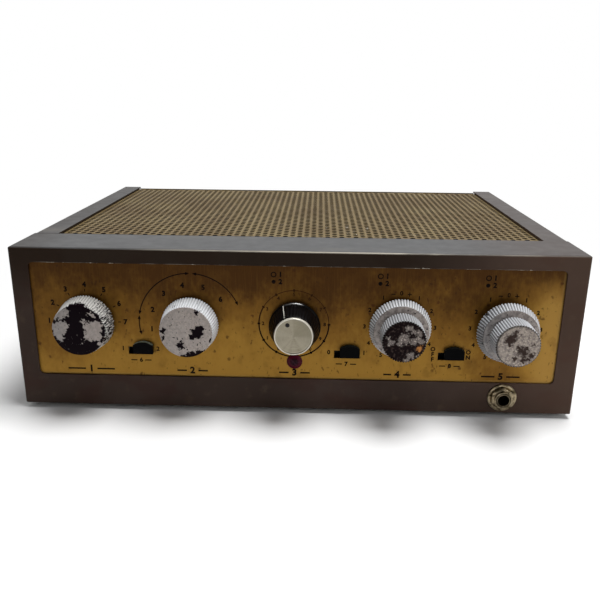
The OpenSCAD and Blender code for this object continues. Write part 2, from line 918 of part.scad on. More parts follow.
// The tube of a concentric shaft, which carries the outer ring
module outer_shaft(x, pull) {
  color("#b4b2ac")
    on_axis(x, row_z)
      difference() {
        union() {
          bar(shaft_r, ring_face(pull), outer_tail);
          bar(rotor_r, outer_rotor, outer_rotor + rotor_t);
        }
        bar(rod_r + run_gap, ring_face(pull) - cut, outer_tail + cut);
      }
}

// The rod of a concentric shaft, which carries the inner knob
module inner_shaft(x, pull) {
  color("#c0beb8")
    on_axis(x, row_z) {
      bar(rod_r, inner_face(pull) + knob_web, inner_tail);
      bar(rotor_r, inner_rotor, inner_rotor + rotor_t);
    }
}

// The outer ring of a tone pair
module outer_ring(x, pull) {
  on_axis(x, row_z)
    difference() {
      serrated_skirt(ring_rear_d, ring_face_d, ring_rear(pull), ring_face(pull));
      bar(hollow_r, hub_start, ring_rear(pull) + cut);
      bar(shaft_r, ring_face(pull) - cut, ring_rear(pull) + cut);
    }
}

// The inner knob of a tone pair
module inner_knob(x, pull) {
  on_axis(x, row_z)
    difference() {
      serrated_skirt(inner_rear_d, inner_face_d, inner_rear(pull), inner_face(pull));
      bar(rod_r, inner_face(pull) + knob_web, inner_rear(pull) + cut);
    }
}

module bass_pot() {
  color("#a39f95")
    potentiometer(bass_x, tandem_len);
}

module bass_outer_shaft() {
  outer_shaft(bass_x, 0);
}

module bass_inner_shaft() {
  inner_shaft(bass_x, 0);
}

module bass_outer_knob() {
  color("#a19d9b")
    outer_ring(bass_x, 0);
}

module bass_inner_knob() {
  color("#6b6665")
    inner_knob(bass_x, 0);
}

module treble_pot() {
  color("#a39f95")
    potentiometer(treble_x, tandem_len);
}

module treble_outer_shaft() {
  outer_shaft(treble_x, treble_pull);
}

module treble_inner_shaft() {
  inner_shaft(treble_x, treble_pull);
}

module treble_outer_knob() {
  color("#a19d9b")
    outer_ring(treble_x, treble_pull);
}

module treble_inner_knob() {
  color("#b1aca9")
    inner_knob(treble_x, treble_pull);
}

module control_nuts() {
  color("#b5aa8c")
    for (x = control_xs)
      on_axis(x, row_z)
        difference() {
          translate([0, 0, plate_front - nut_t])
            cylinder(r = nut_r, h = nut_t, $fn = 6);
          bar(bush_r, plate_front - nut_t - cut, plate_front + cut);
        }
}

// A slide switch: mounting ears in front and a hollow body behind
module slide_switch(x) {
  ear_w = ear_span + 2 * ear_margin;
  front = panel_back + ear_t;
  color("#8d8a84")
    in_case() translate([x, 0, switch_z]) difference() {
      union() {
        box([-ear_w / 2, panel_back, -cavity_h / 2], [ear_w / 2, front, cavity_h / 2]);
        box([-switch_w / 2, panel_back, -switch_h / 2], [switch_w / 2, panel_back + switch_d, switch_h / 2]);
      }
      box([-opening_w / 2, panel_back - cut, -opening_h / 2], [opening_w / 2, front + cut, opening_h / 2]);
      box([-cavity_w / 2, front, -cavity_h / 2],
          [cavity_w / 2, front + carrier_t + 2 * slide_gap, cavity_h / 2]);
      for (side = [-1, 1])
        translate([side * ear_span / 2, 0, 0])
          rotate([-90, 0, 0])
            bar(ear_screw_r, panel_back - cut, front + cut);
    }
}

// A slider at the right-hand end of its travel: an arched thumb piece pressed on the neck of a carrier
module slider(x) {
  neck_h = opening_h - 2 * slide_gap;
  thumb_back = plate_front - thumb_gap;
  carrier_y = panel_back + ear_t + slide_gap;
  arch_r = (thumb_w * thumb_w / 4 + thumb_rise * thumb_rise) / (2 * thumb_rise);
  arch_mid = thumb_h + thumb_rise - thumb_drop - arch_r;
  arch_end = asin(thumb_w / 2 / arch_r);
  color("#15141a")
    in_case() translate([x + slide_offset, 0, switch_z]) {
      translate([0, thumb_back, 0])
        rotate([90, 0, 0])
          linear_extrude(thumb_out - thumb_gap)
            polygon(concat([[-thumb_w / 2, -thumb_drop], [thumb_w / 2, -thumb_drop]],
                           arc(0, arch_mid, arch_r, 90 - arch_end, 90 + arch_end)));
      box([-neck_w / 2, thumb_back - thumb_gap, -neck_h / 2],
          [neck_w / 2, carrier_y + carrier_t / 2, neck_h / 2]);
      box([-carrier_w / 2, carrier_y, -carrier_h / 2],
          [carrier_w / 2, carrier_y + carrier_t, carrier_h / 2]);
    }
}

module tape_switch() {
  slide_switch(tape_x);
}

module tape_slider() {
  slider(tape_x);
}

module loudness_switch() {
  slide_switch(loudness_x);
}

module loudness_slider() {
  slider(loudness_x);
}

module power_switch() {
  slide_switch(power_x);
}

module power_slider() {
  slider(power_x);
}

module switch_screws() {
  head = panel_back + ear_t;
  color("#b9b6ae")
    for (x = switch_xs, side = [-1, 1])
      on_axis(x + side * ear_span / 2, switch_z) {
        bar(ear_screw_r, plate_back, head + ear_screw_r / 2);
        bar(ear_head_r, head, head + ear_screw_r);
      }
}

module pilot_lens() {
  flange_r = lens_r + lens_flange;
  flange_back = panel_back + lens_flange;
  dome_r = (lens_r * lens_r + lens_bulge * lens_bulge) / (2 * lens_bulge);
  dome_mid = plate_front - lens_bulge + dome_r;
  dome_edge = asin(lens_r / dome_r) - 90;
  color("#4a1626")
    on_axis(level_x, lens_z)
      rotate_extrude()
        polygon(concat(arc(0, dome_mid, dome_r, -90, dome_edge),
                       [[lens_r, panel_back], [flange_r, panel_back],
                        [flange_r, flange_back], [0, flange_back]]));
}

module pilot_lamp() {
  bulb_r = lamp_r - lamp_wall / 2;
  color("#e8e2cf")
    on_axis(level_x, lens_z) {
      bar(lamp_r, lamp_front + 2 * lamp_r, lamp_back - lamp_base);
      bar(bulb_r, lamp_front + bulb_r, lamp_front + 2 * lamp_r + cut);
      translate([0, 0, lamp_front + bulb_r])
        sphere(bulb_r);
    }
}

// The lamp's socket on a bracket that stands on the deck
module lamp_holder() {
  bracket_w = 14;
  bracket_y = lamp_front + 3 * lamp_r;
  foot_l = 12;
  socket_out = lamp_r + lamp_wall;
  color("#a7a59c")
    in_case() translate([level_x, 0, 0]) difference() {
      union() {
        box([-bracket_w / 2, bracket_y, deck_z], [bracket_w / 2, bracket_y + foot_l, deck_z + sheet_t]);
        box([-bracket_w / 2, bracket_y, deck_z],
            [bracket_w / 2, bracket_y + sheet_t, lens_z + socket_out]);
        translate([0, 0, lens_z])
          rotate([-90, 0, 0])
            bar(socket_out, bracket_y, lamp_back);
      }
      translate([0, 0, lens_z])
        rotate([-90, 0, 0])
          bar(lamp_r, bracket_y - cut, lamp_back - lamp_base);
    }
}

module phone_jack() {
  body_end = panel_back + jack_body_l;
  color("#3a3836")
    on_axis(jack_x, jack_z)
      difference() {
        union() {
          bar(jack_bush_r, -jack_out, panel_back + cut);
          translate([-jack_body_w / 2, -jack_body_h / 2, panel_back])
            cube([jack_body_w, jack_body_h, jack_body_l]);
        }
        bar(jack_bore_d / 2, -jack_out - cut, body_end - jack_end_t);
      }
}

module jack_washer() {
  color("#b3ab97")
    on_axis(jack_x, jack_z)
      difference() {
        bar(jack_washer_d / 2, -jack_washer_t, 0);
        bar(jack_bush_r, -jack_washer_t - cut, cut);
      }
}

module jack_nut() {
  color("#bdb7a8")
    on_axis(jack_x, jack_z)
      difference() {
        translate([0, 0, -jack_washer_t - jack_nut_t])
          cylinder(r = jack_nut_r / cos(30), h = jack_nut_t, $fn = 6);
        bar(jack_bush_r, -jack_washer_t - jack_nut_t - cut, 0);
      }
}

// The stack of sheets: three legs and two yokes, with two feet on the deck
module transformer_core() {
  color("#4b4a4c")
    upright(transformer_x, power_row_y, deck_z)
      difference() {
        union() {
          box([-core_w / 2, -core_stack / 2, 0], [core_w / 2, core_stack / 2, core_h]);
          box([-core_w / 2 - foot_tab, -core_stack / 2, 0],
              [core_w / 2 + foot_tab, core_stack / 2, foot_tab_t]);
        }
        for (side = [0, 1])
          mirror([side, 0, 0])
            box([core_leg, -core_stack / 2 - cut, core_leg],
                [2 * core_leg, core_stack / 2 + cut, core_h - core_leg]);
        for (side = [-1, 1])
          translate([side * core_screw_dx, 0, 0])
            bar(screw_r, -cut, foot_tab_t + cut);
      }
}

module transformer_coil() {
  reach = core_leg - coil_gap;
  color("#7a4a2a")
    upright(transformer_x, power_row_y, deck_z)
      difference() {
        box([-core_leg - reach, -core_stack / 2 - reach, core_leg + coil_gap],
            [core_leg + reach, core_stack / 2 + reach, core_h - core_leg - coil_gap]);
        box([-core_leg, -core_stack / 2, 0], [core_leg, core_stack / 2, core_h]);
      }
}

module transformer_screws() {
  color("#b9b6ae")
    for (side = [-1, 1])
      upright(transformer_x + side * core_screw_dx, power_row_y, deck_z) {
        bar(screw_r, -sheet_t - screw_spare, foot_tab_t + head_t / 2);
        bar(head_r, foot_tab_t, foot_tab_t + head_t);
      }
}

module filter_capacitor() {
  ring_wide = 3;
  ring_high = 4;
  color("#b9bbbd")
    upright(capacitor_x, power_row_y, deck_z) {
      bar(can_d / 2, 0, can_h);
      bar(can_d / 2 + ring_wide, 0, ring_high);
    }
}

module tube_sockets() {
  color("#d6cdb8")
    for (p = tube_places)
      upright(p[0], p[1], deck_z) {
        bar(socket_flange_r, 0, socket_t);
        bar(socket_r, -sheet_t - socket_drop, socket_t / 2);
      }
}

// Half outline of a tube's glass, narrowed to a tip at the top
function glass_outline(r, h, nip_r) =
  concat([[0, 0], [r, 0]], [for (p = arc(0, h - r, r, 0, 75)) if (p[0] > nip_r) p],
         [[nip_r, h - r + r * sin(acos(nip_r / r))], [nip_r / 2, h + nip_r / 2], [0, h + nip_r]]);

module tube_glass() {
  tip_r = 2;
  color([0.85, 0.88, 0.86, 0.4])
    for (p = tube_places)
      upright(p[0], p[1], tube_floor)
        difference() {
          rotate_extrude()
            polygon(glass_outline(tube_r, tube_h, tip_r));
          bar(tube_r - glass_t, glass_base_t, tube_h - tube_r);
        }
}

// Electrodes in each tube: two mica discs on an anode, standing on the glass base
module tube_electrodes() {
  mica_t = 0.8;
  mica_in = 2;
  anode_room = 6;
  mica_r = tube_r - glass_t - hole_gap;
  anode_r = tube_r * 0.5;
  anode_h = tube_h - tube_r - glass_base_t - anode_room;
  color("#5b5a58")
    for (p = tube_places)
      upright(p[0], p[1], tube_floor + glass_base_t) {
        bar(anode_r, 0, anode_h);
        bar(mica_r, mica_in, mica_in + mica_t);
        bar(mica_r, anode_h - mica_in - mica_t, anode_h - mica_in);
      }
}

// A board that hangs under the deck on four posts
module terminal_board() {
  post = 5;
  color("#7b5a33")
    in_case() translate([board_x, board_y, 0]) {
      box([-board_w / 2, -board_d / 2, board_z - board_t], [board_w / 2, board_d / 2, board_z]);
      for (sx = [0, 1], sy = [0, 1])
        mirror([sx, 0, 0])
          mirror([0, sy, 0])
            box([board_w / 2 - post, board_d / 2 - post, board_z - board_t / 2],
                [board_w / 2, board_d / 2, deck_under]);
    }
}

module board_parts() {
  color("#b8863b")
    for (i = [0:part_count - 1])
      upright(board_x + (i - (part_count - 1) / 2) * part_pitch, board_y, board_z + part_r)
        rotate([-90, 0, 0])
          bar(part_r, -part_l / 2, part_l / 2);
}

module phono_strip() {
  color("#6b4a2a")
    in_case() difference() {
      box([phono_x - strip_w / 2, apron_out, phono_z - strip_h / 2],
          [phono_x + strip_w / 2, strip_face, phono_z + strip_h / 2]);
      for (p = phono_places)
        translate([p[0], 0, p[1]])
          rotate([-90, 0, 0])
            bar(phono_tail_r, apron_out - cut, strip_face + cut);
    }
}

module phono_jacks() {
  flange_t = 1;
  color("#c9c4b6")
    for (p = phono_places)
      on_axis(p[0], p[1])
        difference() {
          union() {
            bar(phono_flange_r, strip_face, strip_face + flange_t);
            bar(phono_d / 2, strip_face, phono_end);
            bar(phono_tail_r, apron_in - phono_tail, strip_face + flange_t / 2);
          }
          bar(phono_hole_d / 2, strip_face, phono_end + cut);
        }
}

module mains_outlets() {
  color("#2a2522")
    for (x = outlet_xs)
      in_case() translate([x, 0, outlet_z]) difference() {
        union() {
          box([-outlet_w / 2, apron_out, -outlet_h / 2],
              [outlet_w / 2, apron_out + outlet_rim_t, outlet_h / 2]);
          box([-outlet_w / 2 + outlet_rim, apron_out - outlet_depth, -outlet_h / 2 + outlet_rim],
              [outlet_w / 2 - outlet_rim, apron_out + outlet_rim_t / 2, outlet_h / 2 - outlet_rim]);
        }
        for (side = [-1, 1])
          box([side * blade_pitch / 2 - blade_w / 2, apron_out + outlet_rim_t - blade_depth, -blade_h / 2],
              [side * blade_pitch / 2 + blade_w / 2, apron_out + outlet_rim_t + cut, blade_h / 2]);
      }
}

module cord_grommet() {
  bore_r = cord_bore_d / 2;
  hole_r = bore_r + grommet_wall;
  flange_r = hole_r + grommet_flange;
  color("#1c1b1a")
    on_axis(grommet_x, grommet_z)
      difference() {
        union() {
          bar(flange_r, apron_in - grommet_flange, apron_in);
          bar(hole_r, apron_in - grommet_flange, apron_out + grommet_flange);
          bar(flange_r, apron_out, apron_out + grommet_flange);
        }
        bar(bore_r, apron_in - grommet_flange - cut, apron_out + grommet_flange + cut);
      }
}

// A screw at the rear, with its head on a seat
module rear_screw(x, z, seat, depth) {
  on_axis(x, z) {
    bar(screw_r, seat - depth, seat + head_t / 2);
    bar(head_r, seat, seat + head_t);
  }
}

module rear_screws() {
  color("#b9b6ae") {
    for (side = [-1, 1], z = side_screw_zs)
      rear_screw(side * side_screw_x, z, case_d, case_d - apron_in + screw_spare);
    for (x = lip_screw_xs)
      rear_screw(x, lip_screw_z, apron_out + grille_t, grille_t + sheet_t + screw_spare);
    for (x = deck_screw_xs)
      rear_screw(x, deck_screw_z, apron_out, 2 * sheet_t + screw_spare);
  }
}

front_frame();
left_side_panel();
right_side_panel();
top_grille();
face_plate();
front_subpanel();
chassis_deck();
rear_apron();
bottom_plate();
rubber_feet();
foot_screws();
selector_switch();
selector_shaft();
selector_knob();
mode_switch();
mode_shaft();
mode_knob();
level_pot();
level_shaft();
level_knob();
level_knob_cap();
bass_pot();
bass_outer_shaft();
bass_inner_shaft();
bass_outer_knob();
bass_inner_knob();
treble_pot();
treble_outer_shaft();
treble_inner_shaft();
treble_outer_knob();
treble_inner_knob();
control_nuts();
tape_switch();
tape_slider();
loudness_switch();
loudness_slider();
power_switch();
power_slider();
switch_screws();
pilot_lens();
pilot_lamp();
lamp_holder();
phone_jack();
jack_washer();
jack_nut();
transformer_core();
transformer_coil();
transformer_screws();
filter_capacitor();
tube_sockets();
tube_glass();
tube_electrodes();
terminal_board();
board_parts();
phono_strip();
phono_jacks();
mains_outlets();
cord_grommet();
rear_screws();
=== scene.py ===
# %% [markdown]
# # A worn tube preamplifier
# The object is a table-top preamplifier of the tube age. It has a folded steel case in brown
# paint, a perforated tan top, a brushed gold face plate, and knobs whose silver coat flakes off.
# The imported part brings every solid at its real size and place. This lesson dresses those
# solids, and replaces a few of them by finer meshes that sit where the solids are.

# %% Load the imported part
import json
import math

import bmesh
import bpy
from mathutils import Matrix, Vector


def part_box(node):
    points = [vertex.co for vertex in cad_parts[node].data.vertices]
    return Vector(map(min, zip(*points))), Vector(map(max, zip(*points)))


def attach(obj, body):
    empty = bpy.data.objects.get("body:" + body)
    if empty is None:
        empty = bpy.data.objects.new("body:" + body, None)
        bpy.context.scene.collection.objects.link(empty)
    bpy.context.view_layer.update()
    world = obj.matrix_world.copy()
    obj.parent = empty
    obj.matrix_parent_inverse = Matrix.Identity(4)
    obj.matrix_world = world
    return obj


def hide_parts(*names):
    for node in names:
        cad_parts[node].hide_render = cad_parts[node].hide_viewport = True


MM = 0.001
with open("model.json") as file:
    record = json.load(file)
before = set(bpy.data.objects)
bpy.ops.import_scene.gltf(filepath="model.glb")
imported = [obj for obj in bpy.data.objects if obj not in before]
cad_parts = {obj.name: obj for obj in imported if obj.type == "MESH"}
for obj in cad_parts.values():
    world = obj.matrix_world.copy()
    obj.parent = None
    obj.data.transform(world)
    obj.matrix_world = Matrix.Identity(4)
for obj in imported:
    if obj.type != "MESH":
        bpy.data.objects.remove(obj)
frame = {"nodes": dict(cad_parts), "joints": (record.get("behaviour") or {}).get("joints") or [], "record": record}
nodes = frame["nodes"]
scene = bpy.context.scene
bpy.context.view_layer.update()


def put(name, data):
    """Put an object with this data in the scene."""
    thing = bpy.data.objects.new(name, data)
    scene.collection.objects.link(thing)
    return thing


# %% [markdown]
# ## Places that later cells share
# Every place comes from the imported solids: a knob's axis is its joint's, and the plate's front
# face is where legends are printed. Measures on the panel run from the case's lower front edge.

# %% Read the shared places
PLATE_LAP = Vector((3.2, 0, 3.2)) * MM
axis_of = {j["child"]: Vector(j["pos_m"]) for j in frame["joints"] if j["type"] == "hinge"}
level_axis = axis_of["level"]
case_low, case_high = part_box("front_frame")
plate_low, plate_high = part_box("face_plate")
lid_low, lid_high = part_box("top_grille")
window_low, window_high = plate_low + PLATE_LAP, plate_high - PLATE_LAP
slide_x = {n: sum(corner.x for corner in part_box(n + "_switch")) / 2
           for n in ("tape", "loudness", "power")}


def on_panel(x_mm, z_mm):
    """A point of the plate's front, x from the middle of the case and z from its lower edge."""
    return Vector((x_mm * MM, plate_low.y, case_low.z + z_mm * MM))


def around(centre, radius, angle, y):
    """A point round an axis from front to back, in millimetres and clockwise from upright."""
    r = radius * MM
    return Vector((centre.x + r * math.sin(angle), y * MM, centre.z + r * math.cos(angle)))


print("axes in mm", {n: [round(v / MM, 1) for v in p] for n, p in axis_of.items()})

# %% [markdown]
# ## The camera
# The photograph was taken from close by, a little above the lid, so the case narrows strongly
# towards the floor. A camera could be placed by eye, but here its place, three angles and focal
# length come from a fit to the corners of the case, so that shapes can be compared one to one.

# %% Set the camera at the photograph's view
CAMERA_PLACE = Vector((11.0, -444.5, 175.2)) * MM
CAMERA_AZIMUTH, CAMERA_ELEVATION, CAMERA_ROLL = (math.radians(v) for v in (1.529, 17.679, 0.587))
CAMERA_LENS = 40.43
camera = put("camera", bpy.data.cameras.new("camera"))
camera.data.lens = CAMERA_LENS
camera.data.clip_start = 10 * MM
aim = Matrix.Rotation(CAMERA_AZIMUTH, 4, "Z") @ Matrix.Rotation(math.pi / 2 - CAMERA_ELEVATION, 4, "X")
camera.matrix_world = Matrix.Translation(CAMERA_PLACE) @ aim @ Matrix.Rotation(CAMERA_ROLL, 4, "Z")
scene.camera = camera
print("camera at", [round(v, 3) for v in CAMERA_PLACE])

# %% [markdown]
# ## A small kit for finishes
# Each finish is one Principled shader with noise that drives colour, roughness and bump. The
# same few nodes come back every time, so a small kit adds them. A wire is what a node gives out,
# and plain arithmetic with wires adds Math nodes. Sizes of noise and bump are in millimetres.
# Patterns are placed by object coordinates: they stay put when a knob turns.


def srgb(code):
    """The linear colour of a code such as "3f342e", as it is read off a screen."""
    parts = [int(code[i:i + 2], 16) / 255 for i in (0, 2, 4)]
    return [p / 12.92 if p <= 0.04045 else ((p + 0.055) / 1.055) ** 2.4 for p in parts] + [1]


def arithmetic(op, swapped=False):
    """A method that joins a wire and a second value by a Math node."""
    def method(self, other=0.0):
        pair = (other, self) if swapped else (self, other)
        return self.kit.math(op, *pair)
    return method


class Wire:
    """An output of a node. The larger of two wires is a | b."""

    def __init__(self, kit, socket):
        self.kit = kit
        self.socket = socket

    def of(self, output):
        """Another output of the same node."""
        return Wire(self.kit, self.socket.node.outputs[output])

    def part(self, name):
        """The X, Y or Z of a place or a way."""
        return self.kit.add("SeparateXYZ", {0: self}, name)

    def length(self):
        return self.kit.vector("LENGTH", self, output="Value")

    def step(self, low, high):
        """0 below low, 1 above high, and a soft slope between; low may be the larger."""
        inputs = {"Value": self, "From Min": low, "From Max": high}
        return self.kit.add("MapRange", inputs, interpolation_type="SMOOTHSTEP")

    __add__ = __radd__ = arithmetic("ADD")
    __mul__ = __rmul__ = arithmetic("MULTIPLY")
    __or__ = __ror__ = arithmetic("MAXIMUM")
    __sub__ = arithmetic("SUBTRACT")
    __rsub__ = arithmetic("SUBTRACT", swapped=True)
    __truediv__ = arithmetic("DIVIDE")
    __abs__ = arithmetic("ABSOLUTE")


class Kit:
    """Adds nodes to a tree, one call at a time."""

    def __init__(self, tree):
        self.tree = tree

    def plug(self, socket, value):
        """Link a wire to a socket or set the socket; a text is a colour code."""
        if isinstance(value, Wire):
            self.tree.links.new(value.socket, socket)
        else:
            socket.default_value = srgb(value) if isinstance(value, str) else value

    def add(self, kind, inputs, output=0, **settings):
        node = self.tree.nodes.new("ShaderNode" + kind)
        for key, value in settings.items():
            setattr(node, key, value)
        for key, value in inputs.items():
            self.plug(node.inputs[key], value)
        return Wire(self, node.outputs[output])

    def math(self, op, a, b=0.0):
        return self.add("Math", {0: a, 1: b}, operation=op)

    def vector(self, op, a, b=(0, 0, 0), c=(0, 0, 0), output="Vector"):
        return self.add("VectorMath", {0: a, 1: b, 2: c}, output, operation=op)


print("nodes can be joined")


class Finish(Kit):
    """A material with one Principled shader."""

    def __init__(self, name, colour, **sockets):
        self.name = name
        self.material = bpy.data.materials.new(name)
        self.material.use_nodes = True
        super().__init__(self.material.node_tree)
        self.shader = self.tree.nodes["Principled BSDF"]
        self.place = self.add("TexCoord", {}, "Object")
        self.x = self.place.part("X")
        self.y, self.z = self.x.of("Y"), self.x.of("Z")
        self.colour = colour
        self.set(Base_Color=colour, **sockets)

    def set(self, **sockets):
        for key, value in sockets.items():
            self.plug(self.shader.inputs[key.replace("_", " ")], value)

    def mix(self, share, a, b):
        return self.add("Mix", {0: share, 6: a, 7: b}, 2, data_type="RGBA")

    def lay(self, share, colour):
        """Lay a colour over those before it; share is how much of it shows."""
        self.colour = self.mix(share, self.colour, colour)
        self.set(Base_Color=self.colour)

    def noise(self, size, detail, stretch=(1, 1, 1), shift=(0, 0, 0), output=0):
        """Cloudy noise with features of about this size, longer along a smaller stretch."""
        place = self.vector("MULTIPLY_ADD", self.place, stretch, shift)
        inputs = {"Vector": place, "Scale": 1 / (size * MM), "Detail": detail}
        return self.add("TexNoise", inputs, output)

    def facing(self):
        """How far the surface faces up: 1 is level and 0 is upright."""
        return self.add("NewGeometry", {}, "Normal").part("Z")

    def out_from(self, point):
        """The way out from an axis that runs through a point from front to back."""
        return self.vector("MULTIPLY", self.vector("SUBTRACT", self.place, point), (1, 0, 1))

    def turn(self, out):
        """The angle of a way out, clockwise from upright."""
        return self.math("ARCTAN2", out.part("X"), out.part("Z"))

    def bump(self, height, depth):
        """Roughen the surface by a height from 0 to 1, this many millimetres deep."""
        below = self.shader.inputs["Normal"]
        inputs = {"Height": height, "Distance": depth * MM}
        if below.is_linked:
            inputs["Normal"] = Wire(self, below.links[0].from_socket)
        self.plug(below, self.add("Bump", inputs))


# The limits between which most noise lies
SPREAD = (0.35, 0.68)
print("kit ready")

# %% [markdown]
# ## Brown case paint
# The case is steel sprayed with satin brown paint, with scuffs on the top flange and chips where
# fingers and tools met the window's upper edge. A plain brown would look like plastic, so cloudy
# noise shifts the colour and the gloss, fine noise gives the spray's texture, and a mask along
# the window's edge lets pale primer through. Light and shade are painted in as well: shade over
# the window and in the seam at the flange's rear edge, light towards the right-hand end and on
# the level tops, and a highlight along the folds.


# %% Mix the brown paint
def brown_paint():
    paint = Finish("brown_paint", "372b25")
    cloud = paint.noise(70, 5)
    mottle = paint.noise(7, 6)
    paint.lay(cloud.step(*SPREAD), "42352f")
    paint.lay(mottle.step(0.55, 0.8), "473a30")
    warm = paint.noise(18, 4, (0.6, 1, 1), (8, 2, 5)).step(0.48, 0.64)
    paint.lay(warm * 0.45, "38211c")
    # Painted shade over the upper front
    paint.lay(upper_shade(paint), "1b1206")
    # Lighter towards the right-hand end: painted light from the right, which also lowers the grey and the gloss
    # there
    painted_right_light = (paint.x + cloud * 0.04).step(0.08, 0.17)
    paint.lay(painted_right_light * 0.4, "5a4538")
    facing = paint.facing()
    top = facing.step(0.3, 0.9) * paint.z.step(window_low.z + 1 * MM, window_low.z + 2 * MM)
    # Painted shade in the seam where the rails meet the flange: a dark line with less gloss
    seam_shade = abs(paint.y - case_high.y).step(1.6 * MM, 0.5 * MM) * top
    seam_shade = seam_shade * paint.x.step(0.2, -0.1)
    top = top - seam_shade
    # Grey on the level tops: dust, and painted light that is weaker at the far left and the right-hand end
    pale_layer = paint.x.step(-0.149, -0.12) * 0.5 - painted_right_light * 0.35 + 0.4
    paint.lay(pale_layer * top, "4d4e4f")
    scuff = paint.noise(26, 6, (0.25, 1, 1), (3, 1, 0)).step(0.56, 0.74) * top
    paint.lay(scuff * 0.4, "77736d")
    paint.lay(seam_shade * 0.75, "0f0c0a")
    # Chips at the window, and the folds' pale line, which is worn paint and a painted highlight
    chip = window_chips(paint) | fold_wear(paint, facing)
    paint.lay(chip, "a8a193")
    sheen = 0.07 + top * (0.13 - painted_right_light * 0.06)
    paint.set(Roughness=0.3 + mottle * 0.24 + scuff * 0.1, Specular_IOR_Level=sheen * (1 - seam_shade * 0.9))
    paint.bump(paint.noise(0.9, 2), 0.02)
    paint.bump(chip, -0.05)
    return paint


def upper_shade(paint):
    """Painted shade over the window, where the upper front gets little light, except near the right-hand end."""
    high = paint.z.step(window_high.z - 30 * MM, window_high.z + 4 * MM)
    return high * paint.x.step(0.12, 0.05) * 0.75


def window_chips(paint):
    """Chips along the upper edge of the window, and a few specks anywhere."""
    near = abs(paint.z - window_high.z)
    chip = (paint.noise(3.4, 3, (0.7, 1, 1)) - near * 240).step(0.57, 0.6)
    rubbed = paint.noise(7, 4, (0.7, 1, 1), (2, 3, 9)).step(0.42, 0.62) * 0.35
    rubbed = rubbed * near.step(0.5 * MM, 0.1 * MM)
    over = abs(paint.x).step(window_high.x, window_high.x - 2 * MM)
    return (chip | rubbed) * over | paint.noise(2.2, 2, shift=(7, 0, 2)).step(0.8, 0.83) * 0.5


def fold_wear(paint, facing):
    """Paint rubbed thin along the upper folds, where the surface is neither upright nor level, with a painted
    highlight on them.
    """
    fold = facing.step(0.3, 0.6) * facing.step(0.95, 0.8)
    fold = fold * paint.z.step(window_high.z, window_high.z + 1 * MM)
    patch = 0.4 + paint.noise(16, 6, (0.5, 1, 1), (1, 4, 2)).step(0.4, 0.6)
    patch = patch * paint.x.step(-0.12, 0.0) * (1 - paint.x.step(0.05, 0.09) * 0.7)
    return fold * patch * 0.75


case_brown = brown_paint()
print("mixed", case_brown.name)

# %% [markdown]
# ## Tan grille paint
# The perforated top is sprayed in a tan that has gone greenish with age. It is seen edge-on, so
# its gloss matters more than its pattern: a soft sheen, with dust that dulls it in patches. The
# holes' walls, edges and underside get painted shade.


# %% Mix the tan paint
def tan_paint():
    paint = Finish("tan_paint", "675537", Specular_IOR_Level=0.15)
    pale_layer = paint.noise(9, 6)
    paint.lay(paint.noise(45, 5).step(0.3, 0.7), "776746")
    paint.lay(pale_layer.step(0.58, 0.78), "817458")
    lip = paint.y.step(lid_high.y - 0.4 * MM, lid_high.y - 0.2 * MM)
    # Painted shade on faces that don't face up, except the rear lip
    paint.lay(paint.facing().step(0.6, 0.2) * (1 - lip), "1c170f")
    paint.set(Roughness=0.4 + pale_layer * 0.3)
    paint.bump(paint.noise(0.8, 2), 0.02)
    return paint


grille_tan = tan_paint()
print("mixed", grille_tan.name)

# %% [markdown]
# ## Tarnished gold face plate
# The plate is aluminium that was brushed from top to bottom, dyed gold and lacquered. Its upper
# third is browner, partly tarnish and partly painted shade, and pits and brown spots are scattered
# over it. Stretched noise gives the brushed grain, and a ramp along the height, shaken by cloudy
# noise, gives the browning. A short chart adds the places that went dark early or stayed bright,
# and the right-hand end is lighter below its top.

# %% Finish the face plate
# Place on the panel, radius, and how much darker; below zero is brighter
TARNISH = [(138, 46, 34, -0.95), (108, 19, 26, 0.45), (-132, 34, 30, 0.2), (20, 62, 34, 0.1),
           (84, 60, 38, 0.08), (-86, 70, 34, 0.1), (-28, 40, 30, -0.15), (-28, 78, 40, 0.2),
           (126, 22, 24, 0.2)]


def gold_plate():
    gold = Finish("gold_plate", "926d2a", Metallic=0.7, Specular_IOR_Level=0.25)
    grain = gold.noise(0.5, 3, (1, 1, 0.03))
    streak = gold.noise(4, 5, (1, 1, 0.2)) - 0.5
    cloud = gold.noise(34, 6, (1, 1, 0.8), (2, 0, 5)) - 0.5
    blotch = gold.noise(5, 5, (1, 1, 0.6), (4, 0, 2)) - 0.5
    mottle = gold.noise(2, 4, (1, 1, 0.7), (9, 0, 6)) - 0.5
    # The ramp darkens the upper part: partly tarnish and partly painted shade
    height = (gold.z - plate_low.z) / (plate_high.z - plate_low.z)
    shake = cloud * 0.6 + streak * 0.03 + blotch * 0.42 + mottle * 0.3
    level = height + shake + tarnish(gold)
    gold.lay(level.step(0.1, 0.6), "73501a")
    gold.lay(level.step(0.46, 1.0), "422706")
    gold.lay(grain.step(0.45, 0.8) * 0.1, "946f30")
    gold.lay(plate_rim(gold) * 0.22, "a98a4e")
    # Lighter towards the right-hand end, except at the top
    brighter_right_end = gold.x.step(window_high.x - 18 * MM, window_high.x - 5 * MM)
    gold.lay(brighter_right_end * height.step(0.95, 0.6) * 0.3, "b08c4e")
    stain = gold.noise(9, 5, (1, 1, 0.8), (7, 0, 3)).step(0.56, 0.72)
    gold.lay(stain * 0.35, "573a12")
    pits = gold.noise(3.4, 4, shift=(5, 0, 1)).step(0.68, 0.76)
    fine = gold.noise(1.5, 3, (1, 1, 0.5), (1, 0, 9)).step(0.65, 0.72)
    gold.lay((pits | fine) * 0.55, "331c0b")
    gold.lay(foxing(gold), "3b1f0a")
    gold.set(Roughness=0.36 + grain * 0.2)
    gold.bump(grain, 0.008)
    gold.bump(pits, -0.03)
    return gold


